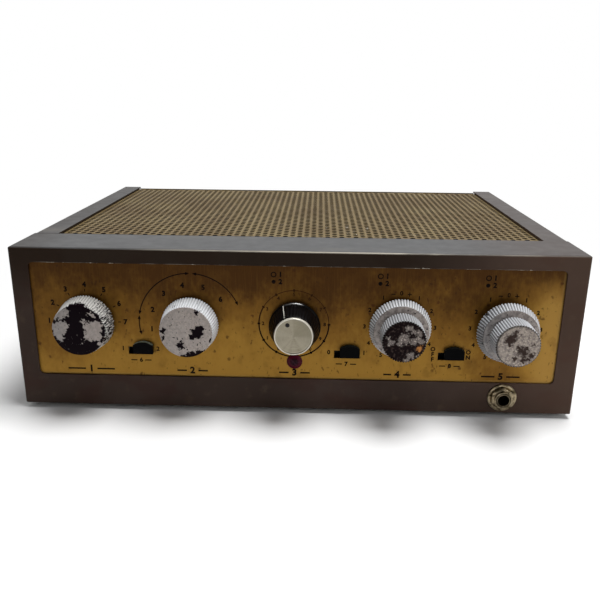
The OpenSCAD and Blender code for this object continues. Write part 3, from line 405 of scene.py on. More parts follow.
def tarnish(gold):
    """The charted places, each fading out towards its radius."""
    found = 0.0
    for x, z, radius, amount in TARNISH:
        away = gold.out_from(on_panel(x, z)).length()
        found = found + away.step(radius * MM, 0.0) * amount
    return found


def foxing(gold):
    """Brown spots scattered over the plate, each with a soft halo, where the lacquer failed."""
    shake = gold.noise(1.6, 4, output="Color")
    place = gold.vector("MULTIPLY_ADD", shake, (2.2 * MM,) * 3, gold.place)
    cells = gold.add("TexVoronoi", {"Vector": place, "Scale": 1 / (7 * MM)}, "Color")
    size = cells.part("X") * 0.14
    return (size - cells.of("Distance")).step(-0.07, 0.06) * 0.7


def plate_rim(gold):
    """A brighter margin along the window's right-hand and lower edges."""
    right = gold.x.step(window_high.x - 1.8 * MM, window_high.x - 0.6 * MM)
    return right | gold.z.step(window_low.z + 1.6 * MM, window_low.z + 0.6 * MM)


plate_gold = gold_plate()
print("mixed", plate_gold.name)

# %% [markdown]
# ## Silver coat on black plastic
# The knobs are black plastic with a thin silver coat that has worn off the faces in islands.
# Each face is different on the real object, so each knob gets its own few patches, written as
# shares of the face's radius with x to the right and z up. On a bare face a patch is what is
# left of the coat, and on a coated one it is what went. Noise frays the patches' edges, and the
# serrated sides keep most of their coat.

# %% Chart the worn patches of each face
# State, colour under the coat, softness of the edges, and x, z and radius of the patches
WORN = {
    "selector": ("bare", "0e060b", 0.25, [
        (-0.66, 0.14, 0.22), (-0.74, -0.08, 0.2), (-0.68, -0.28, 0.13), (-0.5, 0.2, 0.1),
        (-0.88, 0.14, 0.12), (-0.64, 0.68, 0.2), (-0.44, 0.72, 0.15), (-0.84, 0.52, 0.1),
        (0.52, 0.06, 0.28), (0.44, -0.2, 0.2), (0.24, 0.38, 0.08), (0.7, 0.16, 0.2),
        (0.66, -0.18, 0.2), (0.48, 0.68, 0.07), (0.6, 0.6, 0.08), (0.11, -0.47, 0.04),
        (0.78, -0.51, 0.05)]),
    "mode": ("coated", "0e060b", 0.25, [
        (0.44, 0.0, 0.2), (0.56, 0.17, 0.13), (0.26, -0.14, 0.1), (-0.22, -0.52, 0.14),
        (0.02, -1.0, 0.15), (0.27, -0.96, 0.2), (0.48, -0.85, 0.15), (-0.84, 0.06, 0.1),
        (-0.86, -0.22, 0.07), (0.46, 0.84, 0.1), (0.95, -0.3, 0.08), (-0.16, -1.03, 0.13),
        (0.14, -1.0, 0.17), (0.62, -0.78, 0.1)]),
    "bass_inner": ("bare", "140b0c", 0.9, [
        (-0.1, 0.2, 0.15), (0.06, 0.3, 0.1), (-0.2, -0.02, 0.13), (0.1, 0.06, 0.12),
        (-0.62, -0.04, 0.13), (-0.74, 0.2, 0.08), (0.4, 0.04, 0.14), (0.6, 0.16, 0.13),
        (0.76, 0.06, 0.12), (0.66, 0.42, 0.12), (0.44, 0.5, 0.1), (0.14, 0.66, 0.12),
        (0.3, 0.62, 0.08), (0.3, -0.64, 0.15), (0.12, -0.88, 0.09), (0.66, -0.66, 0.05)]),
    "treble_inner": ("coated", "362b27", 0.9, [
        (-0.36, 0.36, 0.22), (-0.24, 0.5, 0.16), (-0.2, 0.7, 0.09), (-0.52, 0.3, 0.13),
        (-0.42, 0.14, 0.12), (0.04, -0.06, 0.13), (0.16, -0.22, 0.18), (0.3, -0.32, 0.15),
        (0.34, -0.1, 0.1), (0.28, -0.6, 0.14), (-0.12, -0.58, 0.11), (0.6, -0.4, 0.12),
        (0.48, -0.56, 0.09), (0.66, 0.1, 0.08)]),
    "bass_outer": ("coated", "2a2422", 0.3, []),
    "treble_outer": ("coated", "2a2422", 0.3, []),
}
# What single knobs have of their own
SIDE_WEAR = {"selector": 0.18}
DULLED = {"selector": 0.3, "mode": 0.3, "bass_inner": 0.8, "treble_inner": 0.75}
LEFT_SHADE = {"selector": 0.3, "treble_outer": 0.4}
FLECKS = {"mode": 0.5, "bass_inner": 1.0, "treble_inner": 1.0}
SIDE_SILVER = {"selector": "c9c7c3", "bass_inner": "b4b6b9", "treble_inner": "c4c6ca",
               "treble_outer": "c8cace"}
FACE_SILVER = {"bass_inner": "6c645e", "treble_inner": "9b9085"}
GRIME = {"selector": 0.35, "mode": 0.35}
SPECKLED = {"selector"}
RUST = {"bass_inner": (0.68, 0, -0.29)}
FRAY = 0.5
print("patches", {n: len(chart[3]) for n, chart in WORN.items()})


# %% Mix the flaking coat
def silver_coat(body, face_r, face_y, teeth):
    """The finish of one knob, from the charts and from its face and its number of ridges."""
    coat = Finish(body + "_silver", SIDE_SILVER.get(body, "e0e2e5"))
    under = WORN[body][1]
    out = coat.out_from(axis_of[body])
    on_face = coat.y.step(face_y + 0.9 * MM, face_y + 0.5 * MM)
    on_side = 1 - on_face
    bare = worn_face(coat, body, out, face_r) * on_face
    bare = bare + worn_side(coat, body, out, face_r, face_y) * on_side
    coat.lay(on_face, FACE_SILVER.get(body, "9e958f"))
    dull = coat.noise(1.8, 5, shift=(2, 6, 3)).step(0.4, 0.62) * DULLED.get(body, 0.7)
    coat.lay(dull * on_face, "665b58")
    shade = out.part("X").step(0.2 * face_r, -0.9 * face_r)
    coat.lay(shade * LEFT_SHADE.get(body, 0.1), "6d7277")
    if body in FLECKS:
        fleck = coat.noise(0.8, 3, shift=(3, 9, 5)).step(0.54, 0.66)
        coat.lay(fleck * on_face * FLECKS[body], "b5a99d")
    groove = coat.math("COSINE", coat.turn(out) * teeth).step(0.1, -0.85)
    coat.lay(groove * GRIME.get(body, 0.62) * on_side, "3c3937")
    if body.endswith("_inner"):
        under = coat.mix(coat.noise(1.3, 4, shift=(6, 4, 1)).step(0.5, 0.7) * 0.4, under, "5c4d47")
    coat.lay(bare, under)
    if body.endswith("_inner"):
        edge = out.length().step(0.91 * face_r, 0.95 * face_r)
        coat.lay(edge * on_face * 0.8, "1d1918")
    if body in RUST:
        near = coat.vector("DISTANCE", frayed(coat, out, face_r), RUST[body], output="Value")
        coat.lay(near.step(0.18, 0.06), "ac7440")
    coat.set(Metallic=(1 - bare) * 0.2, Specular_IOR_Level=0.4 - bare * 0.37, Roughness=0.5 - bare * 0.2)
    coat.bump(bare, -0.06)
    coat.bump(coat.noise(0.5, 3), 0.02)
    return coat


def frayed(coat, out, face_r):
    """The place on a knob's face in shares of its radius, frayed by noise."""
    shake = coat.vector("SUBTRACT", coat.noise(1.6, 5, output="Color"), (0.5, 0.5, 0.5))
    flat = coat.vector("MULTIPLY", out, (1 / face_r, 0, 1 / face_r))
    return coat.vector("MULTIPLY_ADD", shake, (FRAY, 0, FRAY), flat)


def worn_face(coat, body, out, face_r):
    """Where a knob's face has lost its coat: the charted patches with frayed edges, and flakes."""
    state, _, soft, patches = WORN[body]
    flat = frayed(coat, out, face_r)
    found = 0.0
    for x, z, r in patches:
        away = coat.vector("DISTANCE", flat, (x, 0, z), output="Value")
        found = found | away.step(r * (1.08 + soft / 2), r * (1.08 - soft / 2))
    if body in SPECKLED:
        found = found | coat.noise(0.8, 2, shift=(1, 7, 3)).step(0.72, 0.76)
    if state == "bare":
        found = 1 - found
    return found | coat.noise(1.3, 4, shift=(4, 2, 8)).step(0.63, 0.69)


def worn_side(coat, body, out, face_r, face_y):
    """Where a knob's side is bare. Hands rubbed one at the right and over its face's upper edge."""
    wear = SIDE_WEAR.get(body)
    flakes = coat.noise(0.9 if wear else 2.4, 5, (1, 0.4, 1), (9, 3, 1))
    if wear:
        right = out.part("X")
        upper = coat.y.step(face_y + 6 * MM, face_y + 1 * MM) * right.of("Z").step(0.0, 5 * MM)
        upper = upper * abs(right).step(0.5 * face_r, 0.2 * face_r)
        flakes = flakes + (upper * 2 | right.step(0.3 * face_r, face_r)) * wear
    return flakes.step(0.64, 0.72)


print("coat ready")

# %% [markdown]
# ## Metals, rubber, glass and the rest
# The other finishes are plainer, but none is one flat colour. Plated steel has a crystal mottle,
# nickel has yellowed, the spun cap has rings that stretch its highlight and a painted highlight
# and rim besides, and the inner parts have the paper, varnish and enamel of their time. The deck
# inside is darkened by painted shade. One function makes a metal from two colours.


# %% Mix the metals
def metal(name, light, dark, size, rough, shine=1.0, stretch=(1, 1, 1)):
    """A metal that wavers between two colours in patches of about this size."""
    finish = Finish(name, light, Metallic=shine)
    fine = finish.noise(size / 9, 4, stretch)
    finish.lay(finish.noise(size, 5, stretch).step(*SPREAD), dark)
    finish.lay(fine.step(0.6, 0.75), dark)
    finish.set(Roughness=rough + fine * 0.2)
    finish.bump(fine, 0.01)
    return finish


def plain(name, light, dark, size, rough, depth=0.02, **sockets):
    """A plastic, rubber or varnish that wavers between two colours."""
    finish = Finish(name, light, **sockets)
    fine = finish.noise(size / 12, 3)
    finish.lay(finish.noise(size, 5).step(*SPREAD), dark)
    finish.set(Roughness=rough + fine * 0.15)
    finish.bump(fine, depth)
    return finish


def spun_metal():
    """Aluminium with fine turned rings, about an axis that runs from front to back."""
    spun = Finish("spun_metal", "918a7b", Anisotropic=0.6)
    out = spun.out_from(level_axis)
    reach, turn = out.length(), spun.turn(out)
    rings = spun.add("TexNoise", {"W": reach, "Scale": 2600, "Detail": 2}, noise_dimensions="1D")
    rays = spun.add("TexNoise", {"W": abs(turn - 0.5), "Scale": 2.4, "Detail": 5}, noise_dimensions="1D")
    low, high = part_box("level_knob_cap")
    edge = (high.x - low.x) / 2
    rim = reach.step(edge - 0.85 * MM, edge - 0.65 * MM)
    # The two bright lobes and the rays are a painted highlight
    sheen = abs(spun.math("SINE", turn)).step(0.3, 1.0) + rays.step(0.42, 0.62)
    spun.lay(rings.step(0.3, 0.7), "78715f")
    spun.lay(spun.noise(4, 5).step(0.58, 0.8), "6c634f")
    spun.lay(sheen * 0.25, "a09a89")
    # A painted darker sector at the upper right, between the highlight's lobes
    spun.lay(spun.math("COSINE", turn - 0.8).step(0.5, 1.0) * 0.5, "6a6452")
    # The bright rim is a painted highlight on the chamfer
    spun.lay(rim, "cfcabd")
    tangent = spun.add("Tangent", {}, direction_type="RADIAL", axis="Y")
    spun.set(Metallic=1 - rim * 0.6, Roughness=0.27 + rings * 0.12, Tangent=tangent)
    spun.bump(rings, 0.008)
    return spun


def lens_red():
    """Dark red plastic, deeper in colour towards the middle of the lens."""
    lens = Finish("red_lens", "210610", Specular_IOR_Level=0.08)
    low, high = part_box("pilot_lens")
    cloud = lens.noise(1.5, 4)
    lens.lay(lens.out_from((low + high) / 2).length().step(1.2 * MM, 3.4 * MM), "470a1a")
    lens.lay(cloud.step(0.5, 0.75), "3a0a22")
    lens.set(Roughness=0.2 + cloud * 0.15)
    lens.bump(cloud, 0.004)
    return lens


def thumb_black():
    """Black plastic with a painted highlight on the thumbs' rounded tops, most of it at the left."""
    black = Finish("switch_black", "060607", Specular_IOR_Level=0.03)
    # The grey on the tops is a painted highlight
    pale_layer = black.facing().step(0.35, 0.9) * black.noise(3, 4)
    black.lay(pale_layer * (0.15 + black.x.step(0.0, -0.05) * 2), "63685a")
    fine = black.noise(8 / 12, 3)
    black.set(Roughness=0.4 + fine * 0.15)
    black.bump(fine, 0.003)
    return black


# Two colours, size of the patches, roughness, and then share of metal and stretch
METALS = {
    "zinc_steel": ("85827a", "66635c", 14, 0.4),
    "pot_metal": ("a8a498", "87826f", 6, 0.38),
    "nickel": ("a3957a", "463d2c", 3, 0.24),
    "can_metal": ("8d8b85", "6f6d68", 18, 0.4, 1.0, (1, 1, 0.05)),
    "electrode": ("4a4947", "2d2c2b", 5, 0.5, 0.7),
    "lamination": ("4a4644", "2b2828", 1.2, 0.5, 0.6, (1, 1, 0.04)),
    # The deck inside is near black: dust, and painted shade under the lid
    "zinc_dust_and_shade": ("2b271f", "191611", 14, 0.6, 0.3),
    "switch_steel": ("34312d", "1f1d1b", 6, 0.5, 0.5),
}
# Two colours, size of the patches, roughness, and then depth of the grain
PLAINS = {
    "rubber": ("1a1918", "26241f", 5, 0.72, 0.04),
    "phenolic": ("6d4724", "553519", 9, 0.42),
    "winding": ("7d5228", "5e3a1c", 8, 0.45),
    "socket_moulding": ("d3c8b0", "bfb196", 8, 0.4),
    "component": ("b98a3e", "8a5a28", 6, 0.25),
}
mixed = [case_brown, grille_tan, plate_gold, spun_metal(), thumb_black(), lens_red(),
         plain("black_plastic", "080608", "0f0c0e", 12, 0.14, 0.003, Specular_IOR_Level=0.18),
         plain("bulb_glass", "e6ece8", "d8dfda", 20, 0.03, 0.0, Transmission_Weight=0.92, IOR=1.47)]
mixed += [metal(name, *look) for name, look in METALS.items()]
mixed += [plain(name, *look) for name, look in PLAINS.items()]
finishes = {finish.name: finish for finish in mixed}
print("finishes", sorted(finishes))

# %% [markdown]
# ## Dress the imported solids
# Sheet-metal and moulded edges are never knife sharp: a real edge has a radius of a few tenths
# and catches a line of light. The solids stay as they are, so the radius comes from a Bevel
# modifier, after a Weld that joins the solid's split corners.

# %% Give each solid its finish and soft edges
SOFT_EDGES = {"front_frame": 0.3, "left_side_panel": 0.3, "right_side_panel": 0.3,
              "face_plate": 0.12, "rear_apron": 0.2, "bottom_plate": 0.2, "phono_strip": 0.25,
              "mains_outlets": 0.5, "tape_slider": 0.7, "loudness_slider": 0.7,
              "power_slider": 0.7, "transformer_core": 0.4, "transformer_coil": 1.5,
              "rubber_feet": 0.4, "cord_grommet": 0.4, "chassis_deck": 0.2}
SHARP_CORNER = math.radians(38)
SAME_POINT = 0.002 * MM
OWN_FINISH = {"chassis_deck": "zinc_dust_and_shade"}
OWN_FINISH.update({name + "_switch": "switch_steel" for name in slide_x})
OWN_FINISH.update({name + "_slider": "switch_black" for name in slide_x})


def soften(solid, radius):
    """Round a solid's sharp edges by modifiers."""
    weld = solid.modifiers.new("weld", "WELD")
    weld.merge_threshold = SAME_POINT
    bevel = solid.modifiers.new("bevel", "BEVEL")
    bevel.width = radius * MM
    bevel.segments = 2
    bevel.limit_method = "ANGLE"
    bevel.angle_limit = SHARP_CORNER
    bevel.harden_normals = True


for part in frame["record"]["subparts"]:
    solid = nodes[part["node"]]
    solid.data.materials.clear()
    own = finishes.get(OWN_FINISH.get(part["node"], part["material_slot"]))
    if own:
        solid.data.materials.append(own.material)
    if part["node"] in SOFT_EDGES:
        soften(solid, SOFT_EDGES[part["node"]])

# %% [markdown]
# ## Tools for new pieces
# Knobs, nuts and jacks are round about an axis, so one function works like a lathe and spins a
# profile of radius and length pairs. Another one keeps a finished mesh as a named piece that
# rides on its body, with smooth shading that stops at sharp corners.


# %% Make the lathe and the keeper
def turned(solid):
    """A turned solid's radius and its front and rear ends, in millimetres."""
    low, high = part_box(solid)
    return (high.x - low.x) / 2 / MM, low.y / MM, high.y / MM


def spin(profile, centre, segments, cut=None, closed=False, mesh=None):
    """Spin (radius, place along Y) pairs in millimetres; cut(angle, index) comes off a radius."""
    if mesh is None:
        mesh = bmesh.new()
    rings = []
    for index, (radius, place) in enumerate(profile):
        ring = []
        for i in range(segments if radius else 1):
            angle = 2 * math.pi * i / segments
            r = radius - (cut(angle, index) if cut and radius else 0)
            ring.append(mesh.verts.new(around(centre, r, angle, place)))
        rings.append(ring)
    for near, far in zip(rings, rings[1:] + (rings[:1] if closed else [])):
        for i in range(segments):
            j = (i + 1) % segments
            loop = [near[i % len(near)], near[j % len(near)], far[j % len(far)], far[i % len(far)]]
            loop = list(dict.fromkeys(loop))
            if len(loop) > 2:
                mesh.faces.new(loop)
    return mesh


def thicken(mesh, shift):
    """Give flat faces a second side at this shift, and walls between the two."""
    outline = [edge.verts[:] for edge in mesh.edges if edge.is_boundary]
    twin = {v: mesh.verts.new(v.co + Vector(shift)) for v in mesh.verts[:]}
    for face in mesh.faces[:]:
        mesh.faces.new([twin[v] for v in face.verts])
    for a, b in outline:
        mesh.faces.new([a, b, twin[b], twin[a]])


def keep(name, mesh, body, slot, *solids, finish=None):
    """Turn a mesh into a piece that rides on a body and stands for the named solids.

    Its finish is the one its slot names, unless another is given.
    """
    bmesh.ops.recalc_face_normals(mesh, faces=mesh.faces)
    data = bpy.data.meshes.new(name)
    mesh.to_mesh(data)
    mesh.free()
    data.shade_smooth()
    data.set_sharp_from_angle(angle=SHARP_CORNER)
    data.materials.append((finish or finishes[slot]).material)
    piece = put(name, data)
    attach(piece, body)
    if solids:
        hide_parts(*solids)
    print(name, len(data.polygons), "faces on", body)


print("lathe ready")

# %% [markdown]
# ## The perforated top
# The lid is a stock sheet of its time: holes of an eighth of an inch on staggered centres three
# sixteenths apart, so that each hole has six neighbours. Cutting thousands of holes by booleans
# would be slow and messy. Each hole is built with a six-cornered cell of sheet round it instead,
# and neighbours share their corners. A plain margin fills the sheet up to its outline.

# %% Punch the top
HOLE_R, HOLE_STEP, HOLE_SIDES = 3.175 / 2 * MM, 4.7625 * MM, 12
HOLE_COLUMNS, HOLE_ROWS = 67, 39
CELL_CORNERS = [(2, 0), (1, 1), (-1, 1), (-2, 0), (-1, -1), (1, -1)]
RAIL_W, LIP_T, SHEET_T, SHEET_SUNK = 14 * MM, 0.8 * MM, 0.5 * MM, 0.6 * MM
sheet_rear = lid_high.y - LIP_T
sheet_top = lid_high.z - SHEET_SUNK
cell_x, cell_y = HOLE_STEP / math.sqrt(12), HOLE_STEP / 2
first_x = (lid_low.x + lid_high.x) / 2 - 1.5 * (HOLE_COLUMNS - 1) * cell_x
first_y = (lid_low.y + sheet_rear) / 2 - (HOLE_ROWS - 0.5) * cell_y
hole_turns = [2 * math.pi * k / HOLE_SIDES for k in range(HOLE_SIDES)]


def cell(mesh, corner, column, row):
    """The sheet round one hole; corner holds the corners that neighbours share."""
    spots = [(column + a, row + b) for a, b in CELL_CORNERS]
    for a, b in spots:
        if (a, b) not in corner:
            corner[a, b] = mesh.verts.new((first_x + a * cell_x, first_y + b * cell_y, sheet_top))
    x, y = first_x + column * cell_x, first_y + row * cell_y
    hole = [mesh.verts.new((x + HOLE_R * math.cos(a), y + HOLE_R * math.sin(a), sheet_top))
            for a in hole_turns]
    for k in range(6):
        arc = [hole[(2 * k + n) % HOLE_SIDES] for n in (2, 1, 0)]
        mesh.faces.new([corner[spots[k]], corner[spots[(k + 1) % 6]]] + arc)


def punched_sheet():
    """All cells, the plain margin round them, and the thickness of the sheet."""
    mesh = bmesh.new()
    corner = {}
    for i in range(HOLE_COLUMNS):
        for j in range(HOLE_ROWS):
            cell(mesh, corner, 3 * i, 2 * j + i % 2)
    corners = set(corner.values())
    edge = [e for e in mesh.edges if e.is_boundary and corners.issuperset(e.verts)]
    left, right, front = lid_low.x, lid_high.x, lid_low.y
    outline = [(left, front), (right, front), (right, sheet_rear), (left, sheet_rear)]
    outline = [mesh.verts.new((x, y, sheet_top)) for x, y in outline]
    edge += [mesh.edges.new((outline[k - 1], outline[k])) for k in range(4)]
    bmesh.ops.triangle_fill(mesh, use_beauty=True, edges=edge, normal=(0, 0, 1))
    thicken(mesh, (0, 0, -SHEET_T))
    return mesh


def add_lip(mesh):
    """The strip folded down along the rear of the sheet, between the case's rails."""
    lip = bmesh.ops.create_cube(mesh, size=1.0)["verts"]
    middle = Vector((0, lid_high.y - LIP_T / 2, (lid_low.z + lid_high.z) / 2))
    size = (2 * (case_high.x - RAIL_W), LIP_T, lid_high.z - lid_low.z)
    bmesh.ops.scale(mesh, vec=size, verts=lip)
    bmesh.ops.translate(mesh, vec=middle, verts=lip)


top_mesh = punched_sheet()
print("holes", HOLE_COLUMNS * HOLE_ROWS, "open edges", sum(e.is_boundary for e in top_mesh.edges))
add_lip(top_mesh)
keep("perforated_top", top_mesh, "cabinet", "tan_paint", "top_grille")

# %% [markdown]
# ## Serrated knobs
# Each knob is a moulded cone with fine ridges for grip, a flat face with a small chamfer and a
# bore for its shaft. The lathe spins the outline, and a cosine along the turn cuts the ridges.
# The two single knobs are hollow at the back, and their ridges stop at the chamfer, which stays
# round. On the small inner knobs the ridges run through it to the face.

# %% Turn the silver knobs
CHAMFER, KNOB_TAPER, INNER_TAPER = 0.5, 0.891, 0.966
SHAFT_D, ROD_D = 6.4, 3.25
KNOB_WALL, KNOB_WEB, HUB_WALL, HUB_SUNK = 2.6, 2.5, 2.6, 3
TEETH, INNER_TEETH, RIDGE_STEPS, RIDGE_DEPTH = 64, 50, 6, 0.6


def ridges(rings, depth=RIDGE_DEPTH, teeth=TEETH):
    """The cut for a ridged skirt: full on the named rings, none on the others."""
    def cut(angle, index):
        wave = 0.5 - 0.5 * math.cos(angle * teeth)
        return depth * wave ** 1.5 if index in rings else 0
    return cut


def rim(r, face):
    """The chamfer between a knob's face and its side."""
    return [(r - CHAMFER, face), (r - 0.15, face + 0.12), (r, face + CHAMFER)]


def tail(r, rear):
    """The rounded rear end of a knob's side."""
    return [(r - 0.1, rear - 0.4), (r - 0.5, rear)]


def knob(body, taper, bore_d, back, teeth):
    """A ridged knob in the place of its solid; back is "hollow" or "flat"."""
    rear_r, face, rear = turned(body + "_knob")
    face_r, bore, web = rear_r * taper, bore_d / 2, face + KNOB_WEB
    slope = (rear_r - face_r) / (rear - face)
    profile = [(0, face), ((face_r - CHAMFER) / 2, face), *rim(face_r, face),
               (face_r + slope * 1.2, face + 1.2), *tail(rear_r, rear)]
    if back == "hollow":
        inner, hub, end = face_r - KNOB_WALL, bore + HUB_WALL, rear - HUB_SUNK
        profile += [(inner, rear), (inner, web), (hub, web), (hub, end), (bore, end)]
    else:
        profile += [(bore, rear)]
    profile += [(bore, web), (0, web)]
    cut = ridges(range(4 if back == "hollow" else 2, 8), teeth=teeth)
    mesh = spin(profile, axis_of[body], teeth * RIDGE_STEPS, cut)
    finish = silver_coat(body, face_r * MM, face * MM, teeth)
    keep(body + "_grip", mesh, body, "silver_coat", body + "_knob", finish=finish)


for single in ("selector", "mode"):
    knob(single, KNOB_TAPER, SHAFT_D, "hollow", TEETH)
for inner in ("bass_inner", "treble_inner"):
    knob(inner, INNER_TAPER, ROD_D, "flat", INNER_TEETH)

# %% [markdown]
# ## Tone rings
# Bass and treble have a wide ring behind the inner knob, one for each channel. It is the same
# moulding with a hole for the shaft right through, so its face is an annulus.

# %% Turn the tone rings
RING_TAPER = 0.869


def tone_ring(body):
    rear_r, face, rear = turned(body + "_knob")
    face_r, bore = rear_r * RING_TAPER, SHAFT_D / 2
    profile = [(bore, face), (face_r * 0.6, face), *rim(face_r, face), *tail(rear_r, rear), (bore, rear)]
    mesh = spin(profile, axis_of[body], TEETH * RIDGE_STEPS, ridges(range(4, 7)), closed=True)
    finish = silver_coat(body, face_r * MM, face * MM, TEETH)
    keep(body + "_ring", mesh, body, "silver_coat", body + "_knob", finish=finish)


tone_ring("bass_outer")
tone_ring("treble_outer")

# %% [markdown]
# ## The level knob
# The middle knob is gloss black with shallow flutes, a white line along its side and a spun
# metal cap with a painted dot. It points a little left of upright, so the line and the dot are
# turned by the same angle.

# %% Turn the level knob
FLUTES, FLUTE_DEPTH = 40, 0.32
POINTER_TURN = math.radians(-27)
LEVEL_TAPER, POINTER_W, DOT_IN = 0.77, 0.5, 3.2
level_r, level_face, level_rear = turned("level_knob")
level_face_r = level_r * LEVEL_TAPER


def level_grip():
    bore, web = SHAFT_D / 2, level_face + KNOB_WEB
    wider, long = level_r - level_face_r, level_rear - level_face
    profile = [(0, level_face), (level_face_r - 1.2, level_face), (level_face_r - 0.3, level_face + 0.1)]
    profile += [(level_face_r + wider * s, level_face + long * s) for s in (0.06, 0.3, 0.55, 0.8)]
    skirt = ((0.75, 2.2), (0.4, 1.95), (0.1, 1.5), (0, 0.9), (0.2, 0))
    profile += [(level_r - r, level_rear - y) for r, y in skirt]
    profile += [(bore, level_rear), (bore, web), (0, web)]
    return spin(profile, level_axis, FLUTES * RIDGE_STEPS, ridges(range(3, 7), FLUTE_DEPTH, FLUTES))


def gloss_black():
    """Black plastic dulled by hands on the flutes and still bright on the skirt behind them."""
    black = Finish("gloss_black", "060505", IOR=1.9)
    smear = black.noise(6, 5)
    black.lay(smear.step(*SPREAD), "0c0a0b")
    skirt = black.y.step((level_rear - 2.6) * MM, (level_rear - 2.0) * MM)
    skirt = skirt * abs(black.x - (level_axis.x - 1 * MM)).step(6 * MM, 3 * MM)
    black.set(Specular_IOR_Level=0.035 + skirt * 0.9, Roughness=0.3 - skirt * 0.05 + smear * 0.1)
    black.bump(black.noise(0.6, 3), 0.003)
    return black


keep("level_grip", level_grip(), "level", "black_plastic", "level_knob", finish=gloss_black())


# %% Paint the pointer and turn the cap
def level_cap():
    """The dished cap; the return value is its radius and the place of its dish."""
    r, face, rear = turned("level_knob_cap")
    dish = face + 0.25
    profile = [(0, dish), (r / 2, dish), (r - 1, dish), (r - 0.8, face + 0.05), (r - 0.6, face),
               (r - 0.25, face + 0.08), (r, face + 0.45), (r, rear - 0.2), (r - 0.2, rear), (0, rear)]
    keep("spun_cap", spin(profile, level_axis, 96), "level", "spun_metal", "level_knob_cap")
    return r, dish


def pointer_line():
    """The white line on the grip's side."""
    mesh = bmesh.new()
    ends = [(level_face_r + 0.05, level_face + 0.4), (level_r + 0.02, level_rear - 0.5)]
    for depth in (0.0, 0.5):
        ring = [mesh.verts.new(around(level_axis, r - depth, POINTER_TURN + s * POINTER_W / 2 / r, y))
                for r, y in ends for s in (-1, 1)]
        mesh.faces.new([ring[0], ring[1], ring[3], ring[2]])
    bmesh.ops.bridge_loops(mesh, edges=mesh.edges[:])
    white = plain("pointer_white", "d9d6cd", "b9b5a8", 2, 0.4)
    keep("pointer_line", mesh, "level", "black_plastic", finish=white)


def pointer_dot(cap_r, dish):
    """The dark dot on the cap."""
    centre = around(level_axis, cap_r - DOT_IN, POINTER_TURN, 0)
    front, rear = dish - 0.03, dish + 0.1
    profile = [(0, front), (0.95, front), (1.15, front + 0.02), (1.15, rear), (0, rear)]
    keep("pointer_dot", spin(profile, centre, 32), "level", "black_plastic")


cap_measures = level_cap()
pointer_line()
pointer_dot(*cap_measures)

# %% [markdown]
# ## The phone jack
# A threaded sleeve comes through the front, with a dished washer and a nut, all in nickel that
# has yellowed. The bore stays open and dark. The nut is a lathe shape whose cut follows a
# hexagon, so its corners are rounded as on a real one.

# %% Turn the jack's front
JACK_BORE_R, JACK_SLEEVE_R = 3.25, 4.7
THREAD_TURNS, THREAD_PITCH, THREAD_DEPTH = 4, 0.75, 0.4
jack_axis = sum(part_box("jack_washer"), Vector()) / 2


def jack_piece(name, profile, segments, cut, *solids):
    mesh = spin(profile, jack_axis, segments, cut, closed=True)
    keep(name, mesh, "cabinet", "nickel", *solids)


def jack_washer():
    r, face, rear = turned("jack_washer")
    profile = [(JACK_SLEEVE_R, face + 0.1), (r - 2.4, face + 0.1), (r - 1.7, face - 0.25),
               (r - 0.9, face - 0.35), (r - 0.25, face - 0.15), (r, rear), (JACK_SLEEVE_R, rear)]
    jack_piece("dished_washer", profile, 72, None, "jack_washer")


def jack_nut():
    low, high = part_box("jack_nut")
    flat, face, rear = (high.z - low.z) / 2 / MM, low.y / MM, high.y / MM
    corner = flat / math.cos(math.pi / 6) * 0.97

    def hexagon(angle, index):
        part = (angle % (math.pi / 3)) - math.pi / 6
        return corner - min(corner, flat / math.cos(part)) if index in range(2, 6) else 0
    side = [(corner, y) for y in (face + 0.35, face + 0.8, rear - 0.3, rear)]
    profile = [(JACK_SLEEVE_R, face), (flat - 0.5, face), *side, (JACK_SLEEVE_R, rear)]
    jack_piece("hex_nut", profile, 96, hexagon, "jack_nut")


def jack_sleeve():
    face, rear = turned("phone_jack")[1], turned("jack_nut")[2]
    bore, r, root = JACK_BORE_R, JACK_SLEEVE_R, JACK_SLEEVE_R - THREAD_DEPTH
    profile = [(bore, face + 0.35), (bore + 0.3, face), (r - 0.55, face), (r - 0.2, face + 0.3)]
    for i in range(THREAD_TURNS):
        y = face + 0.4 + i * THREAD_PITCH
        profile += [(r, y), (r, y + 0.2), (root, y + 0.45), (root, y + 0.55)]
    jack_piece("threaded_sleeve", profile + [(root, rear), (bore, rear)], 64, None)


jack_washer()
jack_nut()
jack_sleeve()

# %% [markdown]
# ## Printed legends
# The plate carries dial numbers, a ring round the level knob, arcs and small signs in dark ink.
# Here they are plain numbers and signs. Ink on metal could be a texture, but a thin mesh on the
# plate stays crisp at any distance: flat letters and bands are gathered in one mesh per control
# and then given a few hundredths of a millimetre of thickness.

# %% Make the printing tools
INK_RISE = 0.03
CAPITAL_SHARE = 0.7


def worn_ink():
    ink = Finish("worn_ink", "0b0603", Roughness=0.7, Specular_IOR_Level=0.06)
    rub = ink.noise(2.2, 6, shift=(6, 1, 4)).step(0.58, 0.72)
    out = ink.out_from(level_axis)
    fade = out.length().step(21 * MM, 20 * MM) * out.part("Z").step(-2 * MM, 8 * MM)
    ink.lay(rub * 0.6 | fade * 0.55, "44290d")
    ink.bump(rub, -0.01)
    return ink


def off(x, z):
    """A shift along the plate, in millimetres."""
    return Vector((x * MM, 0, z * MM))


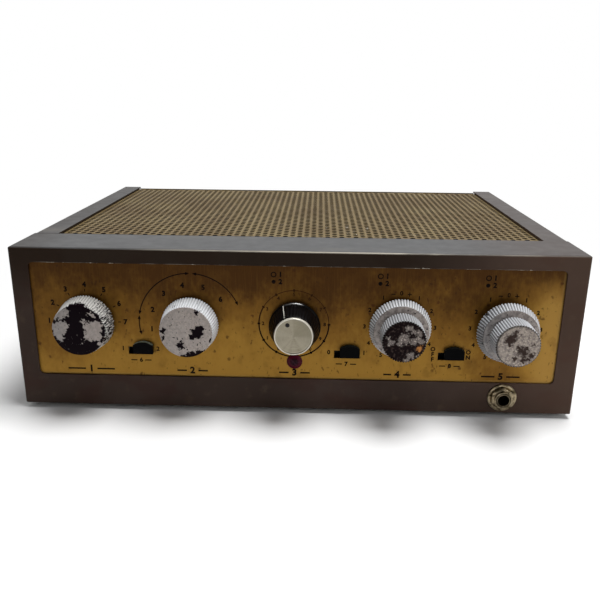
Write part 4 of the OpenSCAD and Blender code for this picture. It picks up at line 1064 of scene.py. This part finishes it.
def letters(mesh, words, spot, height, bold):
    """Set words upright in the plate's plane, centred on a point of it."""
    curve = bpy.data.curves.new("type", "FONT")
    curve.body = words
    curve.size = height / CAPITAL_SHARE * MM
    curve.offset = bold * MM
    curve.align_x, curve.align_y = "CENTER", "CENTER"
    curve.resolution_u = 3
    holder = put("type", curve)
    shape = bpy.data.meshes.new_from_object(holder.evaluated_get(bpy.context.evaluated_depsgraph_get()))
    shape.transform(Matrix.Translation(spot) @ Matrix.Rotation(math.pi / 2, 4, "X"))
    mesh.from_mesh(shape)
    bpy.data.objects.remove(holder)
    bpy.data.curves.remove(curve)
    bpy.data.meshes.remove(shape)


def dial(centre, radius, angle):
    """A point of the plate round a control, with the angle in degrees."""
    return around(centre, radius, math.radians(angle), plate_low.y / MM)


def band(mesh, centre, radius, width, start, end):
    """An arc of ink between two angles."""
    steps = max(2, int(abs(end - start) / 4))
    rows = [[mesh.verts.new(dial(centre, r, start + (end - start) * i / steps))
             for r in (radius - width / 2, radius + width / 2)] for i in range(steps + 1)]
    for (a, b), (c, d) in zip(rows, rows[1:]):
        mesh.faces.new([a, b, d, c])


def arrow(mesh, centre, radius, angle, size):
    """An arrow head on an arc; a negative size points anticlockwise."""
    back = angle - math.degrees(size / radius)
    wings = [dial(centre, radius + side * abs(size) * 0.4, back) for side in (-1, 1)]
    mesh.faces.new([mesh.verts.new(p) for p in (dial(centre, radius, angle), *wings)])


def rule(mesh, centre, width, height):
    """A straight stroke of ink."""
    spots = [(-1, -1), (1, -1), (1, 1), (-1, 1)]
    mesh.faces.new([mesh.verts.new(centre + off(x * width / 2, z * height / 2)) for x, z in spots])


def print_legend(name, mesh):
    """Give flat ink its thickness and keep it on the plate."""
    thicken(mesh, (0, -INK_RISE * MM, 0))
    keep(name, mesh, "cabinet", "gold_plate", finish=dark_ink)


dark_ink = worn_ink()
print("ink", dark_ink.name)

# %% Print round the selector and the mode knob
CLICK, SELECTOR_FIRST, MODE_FIRST = 30, -90, -100
SELECTOR_NUMBER_R, SELECTOR_TICK_R, MODE_NUMBER_R = 20.8, 17.6, 21.6
NUMBER_H, NAME_H, NAME_Z, NAME_GAP = 2.7, 3.7, 21.1, 3.2
MODE_ARCS, MODE_ARC_R, ARROW = ((-103, -83), (-79, -1), (5, 66)), 28.0, 2.2


def name_mark(mesh, x, number, half):
    """A control's own number between two short rules, where a name would stand."""
    spot = on_panel(x / MM, NAME_Z)
    letters(mesh, number, spot, NAME_H, 0.25)
    for side in (-1, 1):
        rule(mesh, spot + off(side * (half + NAME_GAP) / 2, 0), half - NAME_GAP, 0.9)


def selector_legend():
    mesh = bmesh.new()
    centre = axis_of["selector"]
    for i in range(7):
        angle = SELECTOR_FIRST + CLICK * i
        letters(mesh, str(i + 1), dial(centre, SELECTOR_NUMBER_R, angle), NUMBER_H, 0.2)
        band(mesh, centre, SELECTOR_TICK_R, 1.6, angle - 0.8, angle + 0.8)
    name_mark(mesh, centre.x, "1", 13)
    print_legend("selector_legend", mesh)


def mode_legend():
    mesh = bmesh.new()
    centre = axis_of["mode"]
    for i in range(6):
        spot = dial(centre, MODE_NUMBER_R, MODE_FIRST + CLICK * i)
        letters(mesh, str(i + 1), spot, NUMBER_H, 0.2)
    for start, end in MODE_ARCS:
        band(mesh, centre, MODE_ARC_R, 0.55, start, end)
        arrow(mesh, centre, MODE_ARC_R, start - 1.5, -ARROW)
        arrow(mesh, centre, MODE_ARC_R, end + 1.5, ARROW)
    name_mark(mesh, centre.x, "2", 8.5)
    print_legend("mode_legend", mesh)


selector_legend()
mode_legend()

# %% Print round the level knob and the tone controls
LEVEL_RING_R, LEVEL_TICK_R, LEVEL_NUMBER_R, LEVEL_FIRST = 18.85, 18.9, 16.6, -150
TONE_SIGN_R, TONE_NUMBER_R, SIGN_TURN, DIAL_STEP = 19.0, 18.9, 13, 30
CHANNEL_LEFT = 11.4


def channel_pair(mesh, x):
    """An open and a filled circle for the two channels, each with its number."""
    for number, z, radius, width in (("1", 77.0, 1.25, 0.55), ("2", 73.0, 0.55, 1.1)):
        spot = on_panel(x / MM - CHANNEL_LEFT, z)
        band(mesh, spot, radius, width, 0, 360)
        letters(mesh, number, spot + off(3.6, 0), 2.6, 0.18)


def level_legend():
    mesh = bmesh.new()
    centre = level_axis + off(-0.5, 0.7)
    band(mesh, centre, LEVEL_RING_R, 0.4, -60, 90)
    band(mesh, centre, LEVEL_RING_R, 0.75, 90, 300)
    for i in range(11):
        angle = LEVEL_FIRST + DIAL_STEP * i
        letters(mesh, str(i), dial(centre, LEVEL_NUMBER_R, angle), 1.9, 0.1)
        band(mesh, centre, LEVEL_TICK_R, 1.5, angle - 1.4, angle + 1.4)
    channel_pair(mesh, level_axis.x)
    name_mark(mesh, level_axis.x, "3", 8.5)
    print_legend("level_legend", mesh)


def tone_legend(control, number, half):
    mesh = bmesh.new()
    centre = axis_of[control + "_outer"]
    letters(mesh, "0", dial(centre, TONE_SIGN_R, 0), 2.3, 0.1)
    for angle in (-SIGN_TURN, SIGN_TURN):
        rule(mesh, dial(centre, TONE_SIGN_R, angle), 2.2, 0.5)
    for z in (-0.7, 0.7):
        rule(mesh, dial(centre, TONE_SIGN_R, SIGN_TURN) + off(0, z), 0.5, 0.9)
    for i in range(1, 6):
        for side in (-1, 1):
            letters(mesh, str(i), dial(centre, TONE_NUMBER_R, side * DIAL_STEP * i), 2.2, 0.14)
    channel_pair(mesh, centre.x)
    name_mark(mesh, centre.x, number, half)
    print_legend(control + "_legend", mesh)


level_legend()
tone_legend("bass", "4", 7.5)
tone_legend("treble", "5", 10.5)

# %% Print beside the slide switches
SIGNS = {"tape": ("1", "2", "6"), "loudness": ("0", "1", "7"), "power": ("OFF", "ON", "8")}
SIGN_X, SIGN_Z, SIGN_H, SIGN_STEP, SWITCH_NAME_Z = 9.6, 33.5, 2.3, 3.0, 26.8


def switch_legend():
    mesh = bmesh.new()
    for name, (left, right, number) in SIGNS.items():
        middle = slide_x[name] / MM
        for word, x in ((left, -SIGN_X), (right, SIGN_X)):
            for i, letter in enumerate(word):
                z = (len(word) - 1) / 2 - i
                letters(mesh, letter, on_panel(middle + x, SIGN_Z + z * SIGN_STEP), SIGN_H, 0.14)
        spot = on_panel(middle, SWITCH_NAME_Z)
        letters(mesh, number, spot, SIGN_H, 0.16)
        for side in (-1, 1):
            rule(mesh, spot + off(side * 3.9, 0), 3.4, 0.6)
    print_legend("switch_legend", mesh)


switch_legend()

# %% [markdown]
# ## Screws
# Slotted screws hold the rear panel and the feet. A head is a short drum with two domed halves
# on it, and the gap between the halves is the slot. Each screw has its own turn, as a hand
# leaves it.

# %% Turn the slotted screws
SLOT_W, HEAD_STEPS, DRUM_SIDES, HEAD_H = 0.7 * MM, 14, 32, 1.6 * MM
SCREW_TURN = 0.9
# Shares of the head's height and radius: the drum, and a half from its edge to its top
DRUM = 0.32
DOME = [(1.0, 0.3), (0.98, 0.6), (0.84, 0.88), (0.6, 1.0)]
REAR = Vector((0, 1, 0))
DOWN = Vector((0, 0, -1))


def slotted_head(mesh, centre, outward, radius, turn):
    """A head that stands on centre, with its slot turned by an angle."""
    side = outward.orthogonal().normalized()
    up = outward.cross(side)

    def ring(r, rise, angles):
        base = centre + outward * (rise * HEAD_H)
        return [mesh.verts.new(base + side * (r * math.cos(turn + a)) + up * (r * math.sin(turn + a)))
                for a in angles]

    def half_ring(r, rise, flip):
        start = math.asin(SLOT_W / 2 / r)
        span = math.pi - 2 * start
        return ring(r, rise, [flip * (start + span * i / HEAD_STEPS) for i in range(HEAD_STEPS + 1)])
    shells = [[half_ring(radius * r, rise, flip) for r, rise in DOME] for flip in (-1, 1)]
    round_turns = [2 * math.pi * i / DRUM_SIDES for i in range(DRUM_SIDES)]
    shells.append([ring(radius, rise, round_turns) for rise in (0.0, DRUM)])
    for levels in shells:
        for near, far in zip(levels, levels[1:]):
            for k in range(len(near)):
                mesh.faces.new([near[k - 1], near[k], far[k], far[k - 1]])
        mesh.faces.new(levels[0])
        mesh.faces.new(levels[-1])


def heads_of(solid, outward, tall):
    """Centres and radii of the screw heads in a solid: its farthest discs along outward."""
    mesh = bmesh.new()
    mesh.from_mesh(nodes[solid].data)
    bmesh.ops.remove_doubles(mesh, verts=mesh.verts, dist=SAME_POINT)
    found = []
    for shell in shells_of(mesh):
        far = max(v.co.dot(outward) for v in shell)
        disc = [v.co.copy() for v in shell if v.co.dot(outward) > far - 0.1 * MM]
        middle = sum(disc, Vector()) / len(disc)
        found.append((middle - outward * tall, max((p - middle).length for p in disc)))
    mesh.free()
    return found


def shells_of(mesh):
    """The mesh's vertices, one list for each separate shell, which grows while it is walked."""
    seen = set()
    for first in mesh.verts:
        shell = [] if first in seen else [first]
        seen.add(first)
        for v in shell:
            near = [e.other_vert(v) for e in v.link_edges]
            shell += [n for n in near if n not in seen]
            seen.update(near)
        if shell:
            yield shell


def screws(name, solid, outward):
    mesh = bmesh.new()
    for i, (centre, radius) in enumerate(heads_of(solid, outward, HEAD_H)):
        slotted_head(mesh, centre, outward, radius, SCREW_TURN * i)
    keep(name, mesh, "cabinet", "nickel", solid)


screws("rear_screw_heads", "rear_screws", REAR)
screws("foot_screw_heads", "foot_screws", DOWN)

# %% [markdown]
# ## Phono jacks
# The back has two rows of phono jacks: a nickel sleeve on a flange, with a pale insulator set
# back inside it and a small hole for the plug's pin. The solids give the places, and the lathe
# gives each sleeve its rounded mouth.

# %% Turn the phono jacks
PHONO_R, PHONO_FLANGE_R, PHONO_HOLE_R, PHONO_WALL = 4.15, 6.15, 1.6, 0.7


def phono_jacks():
    face, end = turned("phono_strip")[2], turned("phono_jacks")[2]
    r, flange, hole, inside = PHONO_R, PHONO_FLANGE_R, PHONO_HOLE_R, PHONO_R - PHONO_WALL
    sleeve = [(inside, face), (flange, face), (flange, face + 0.8), (flange - 0.3, face + 1),
              (r + 0.3, face + 1), (r, face + 1.3), (r, end - 0.4), (r - 0.15, end - 0.1),
              (r - 0.35, end), (inside, end - 0.25)]
    insert = [(hole, face + 0.2), (inside, face + 0.2), (inside, end - 0.9), (hole + 0.4, end - 0.9),
              (hole, end - 1.2)]
    sleeves, inserts = bmesh.new(), bmesh.new()
    seats = heads_of("phono_jacks", REAR, 0)
    for centre, _ in seats:
        spin(sleeve, centre, 40, closed=True, mesh=sleeves)
        spin(insert, centre, 32, closed=True, mesh=inserts)
    keep("phono_sleeves", sleeves, "cabinet", "nickel", "phono_jacks")
    keep("phono_inserts", inserts, "cabinet", "socket_moulding")
    print("jacks", len(seats))


phono_jacks()

# %% [markdown]
# ## Floor and light
# The object stands on white paper under a large soft lamp, with a weak one at the right front.
# The room is white too, dim behind the camera and bright behind the object, so the lid and the
# knobs' upper sides are light and the front is in calm shade. Far from the object the paper
# turns into plain white for the camera, for mirrors and for glass, so no horizon shows, and near
# it the paper keeps the shadow.

# %% Lay the paper
PAPER_HALF, SHADOW_REACH, WHITE_FROM = 4.0, 0.17, 0.42


def paper():
    white = Finish("white_paper", "f4f4f4", Roughness=0.9, Specular_IOR_Level=0.1)
    far = white.vector("MULTIPLY", white.place, (1, 1, 0)).length().step(SHADOW_REACH, WHITE_FROM)
    path = white.add("LightPath", {}, "Is Camera Ray")
    seen = path | path.of("Is Glossy Ray") | path.of("Is Transmission Ray")
    glow = white.add("Emission", {"Color": "ffffff", "Strength": 1.0})
    blend = white.add("MixShader", {0: far * seen, 1: Wire(white, white.shader.outputs[0]), 2: glow})
    white.plug(white.tree.nodes["Material Output"].inputs["Surface"], blend)
    return white


floor_mesh = bpy.data.meshes.new("floor")
corners = [(x * PAPER_HALF, y * PAPER_HALF, 0) for x, y in ((-1, -1), (1, -1), (1, 1), (-1, 1))]
floor_mesh.from_pydata(corners, [], [range(4)])
floor_mesh.materials.append(paper().material)
floor = put("floor", floor_mesh)
print("floor laid")


# %% Hang the lamps
def lamp(name, place, aim, size, power):
    data = bpy.data.lights.new(name, "AREA")
    data.shape, data.size, data.energy = "DISK", size, power
    holder = put(name, data)
    holder.location = place
    holder.rotation_euler = (Vector(aim) - Vector(place)).to_track_quat("-Z", "Y").to_euler()


def studio_world(front, back):
    """A white room that is dim behind the camera and bright behind the object."""
    world = bpy.data.worlds.new("studio")
    world.use_nodes = True
    room = Kit(world.node_tree)
    depth = room.add("TexCoord", {}, "Generated").part("Y")
    ramp = {"Value": depth, "From Min": -0.5, "From Max": 0.5, "To Min": front, "To Max": back}
    light = world.node_tree.nodes["Background"].inputs
    room.plug(light["Color"], "ffffff")
    room.plug(light["Strength"], room.add("LightPath", {}, "Is Camera Ray") | room.add("MapRange", ramp))
    return world


lamp("overhead_panel", (0.22, -0.04, 1.15), (0, -0.06, 0), 0.6, 13.5)
lamp("side_fill", (0.75, -0.7, 0.4), (0.1, -0.1, 0.05), 0.4, 2.2)
scene.world = studio_world(0.03, 0.75)
scene.view_settings.view_transform = "Standard"
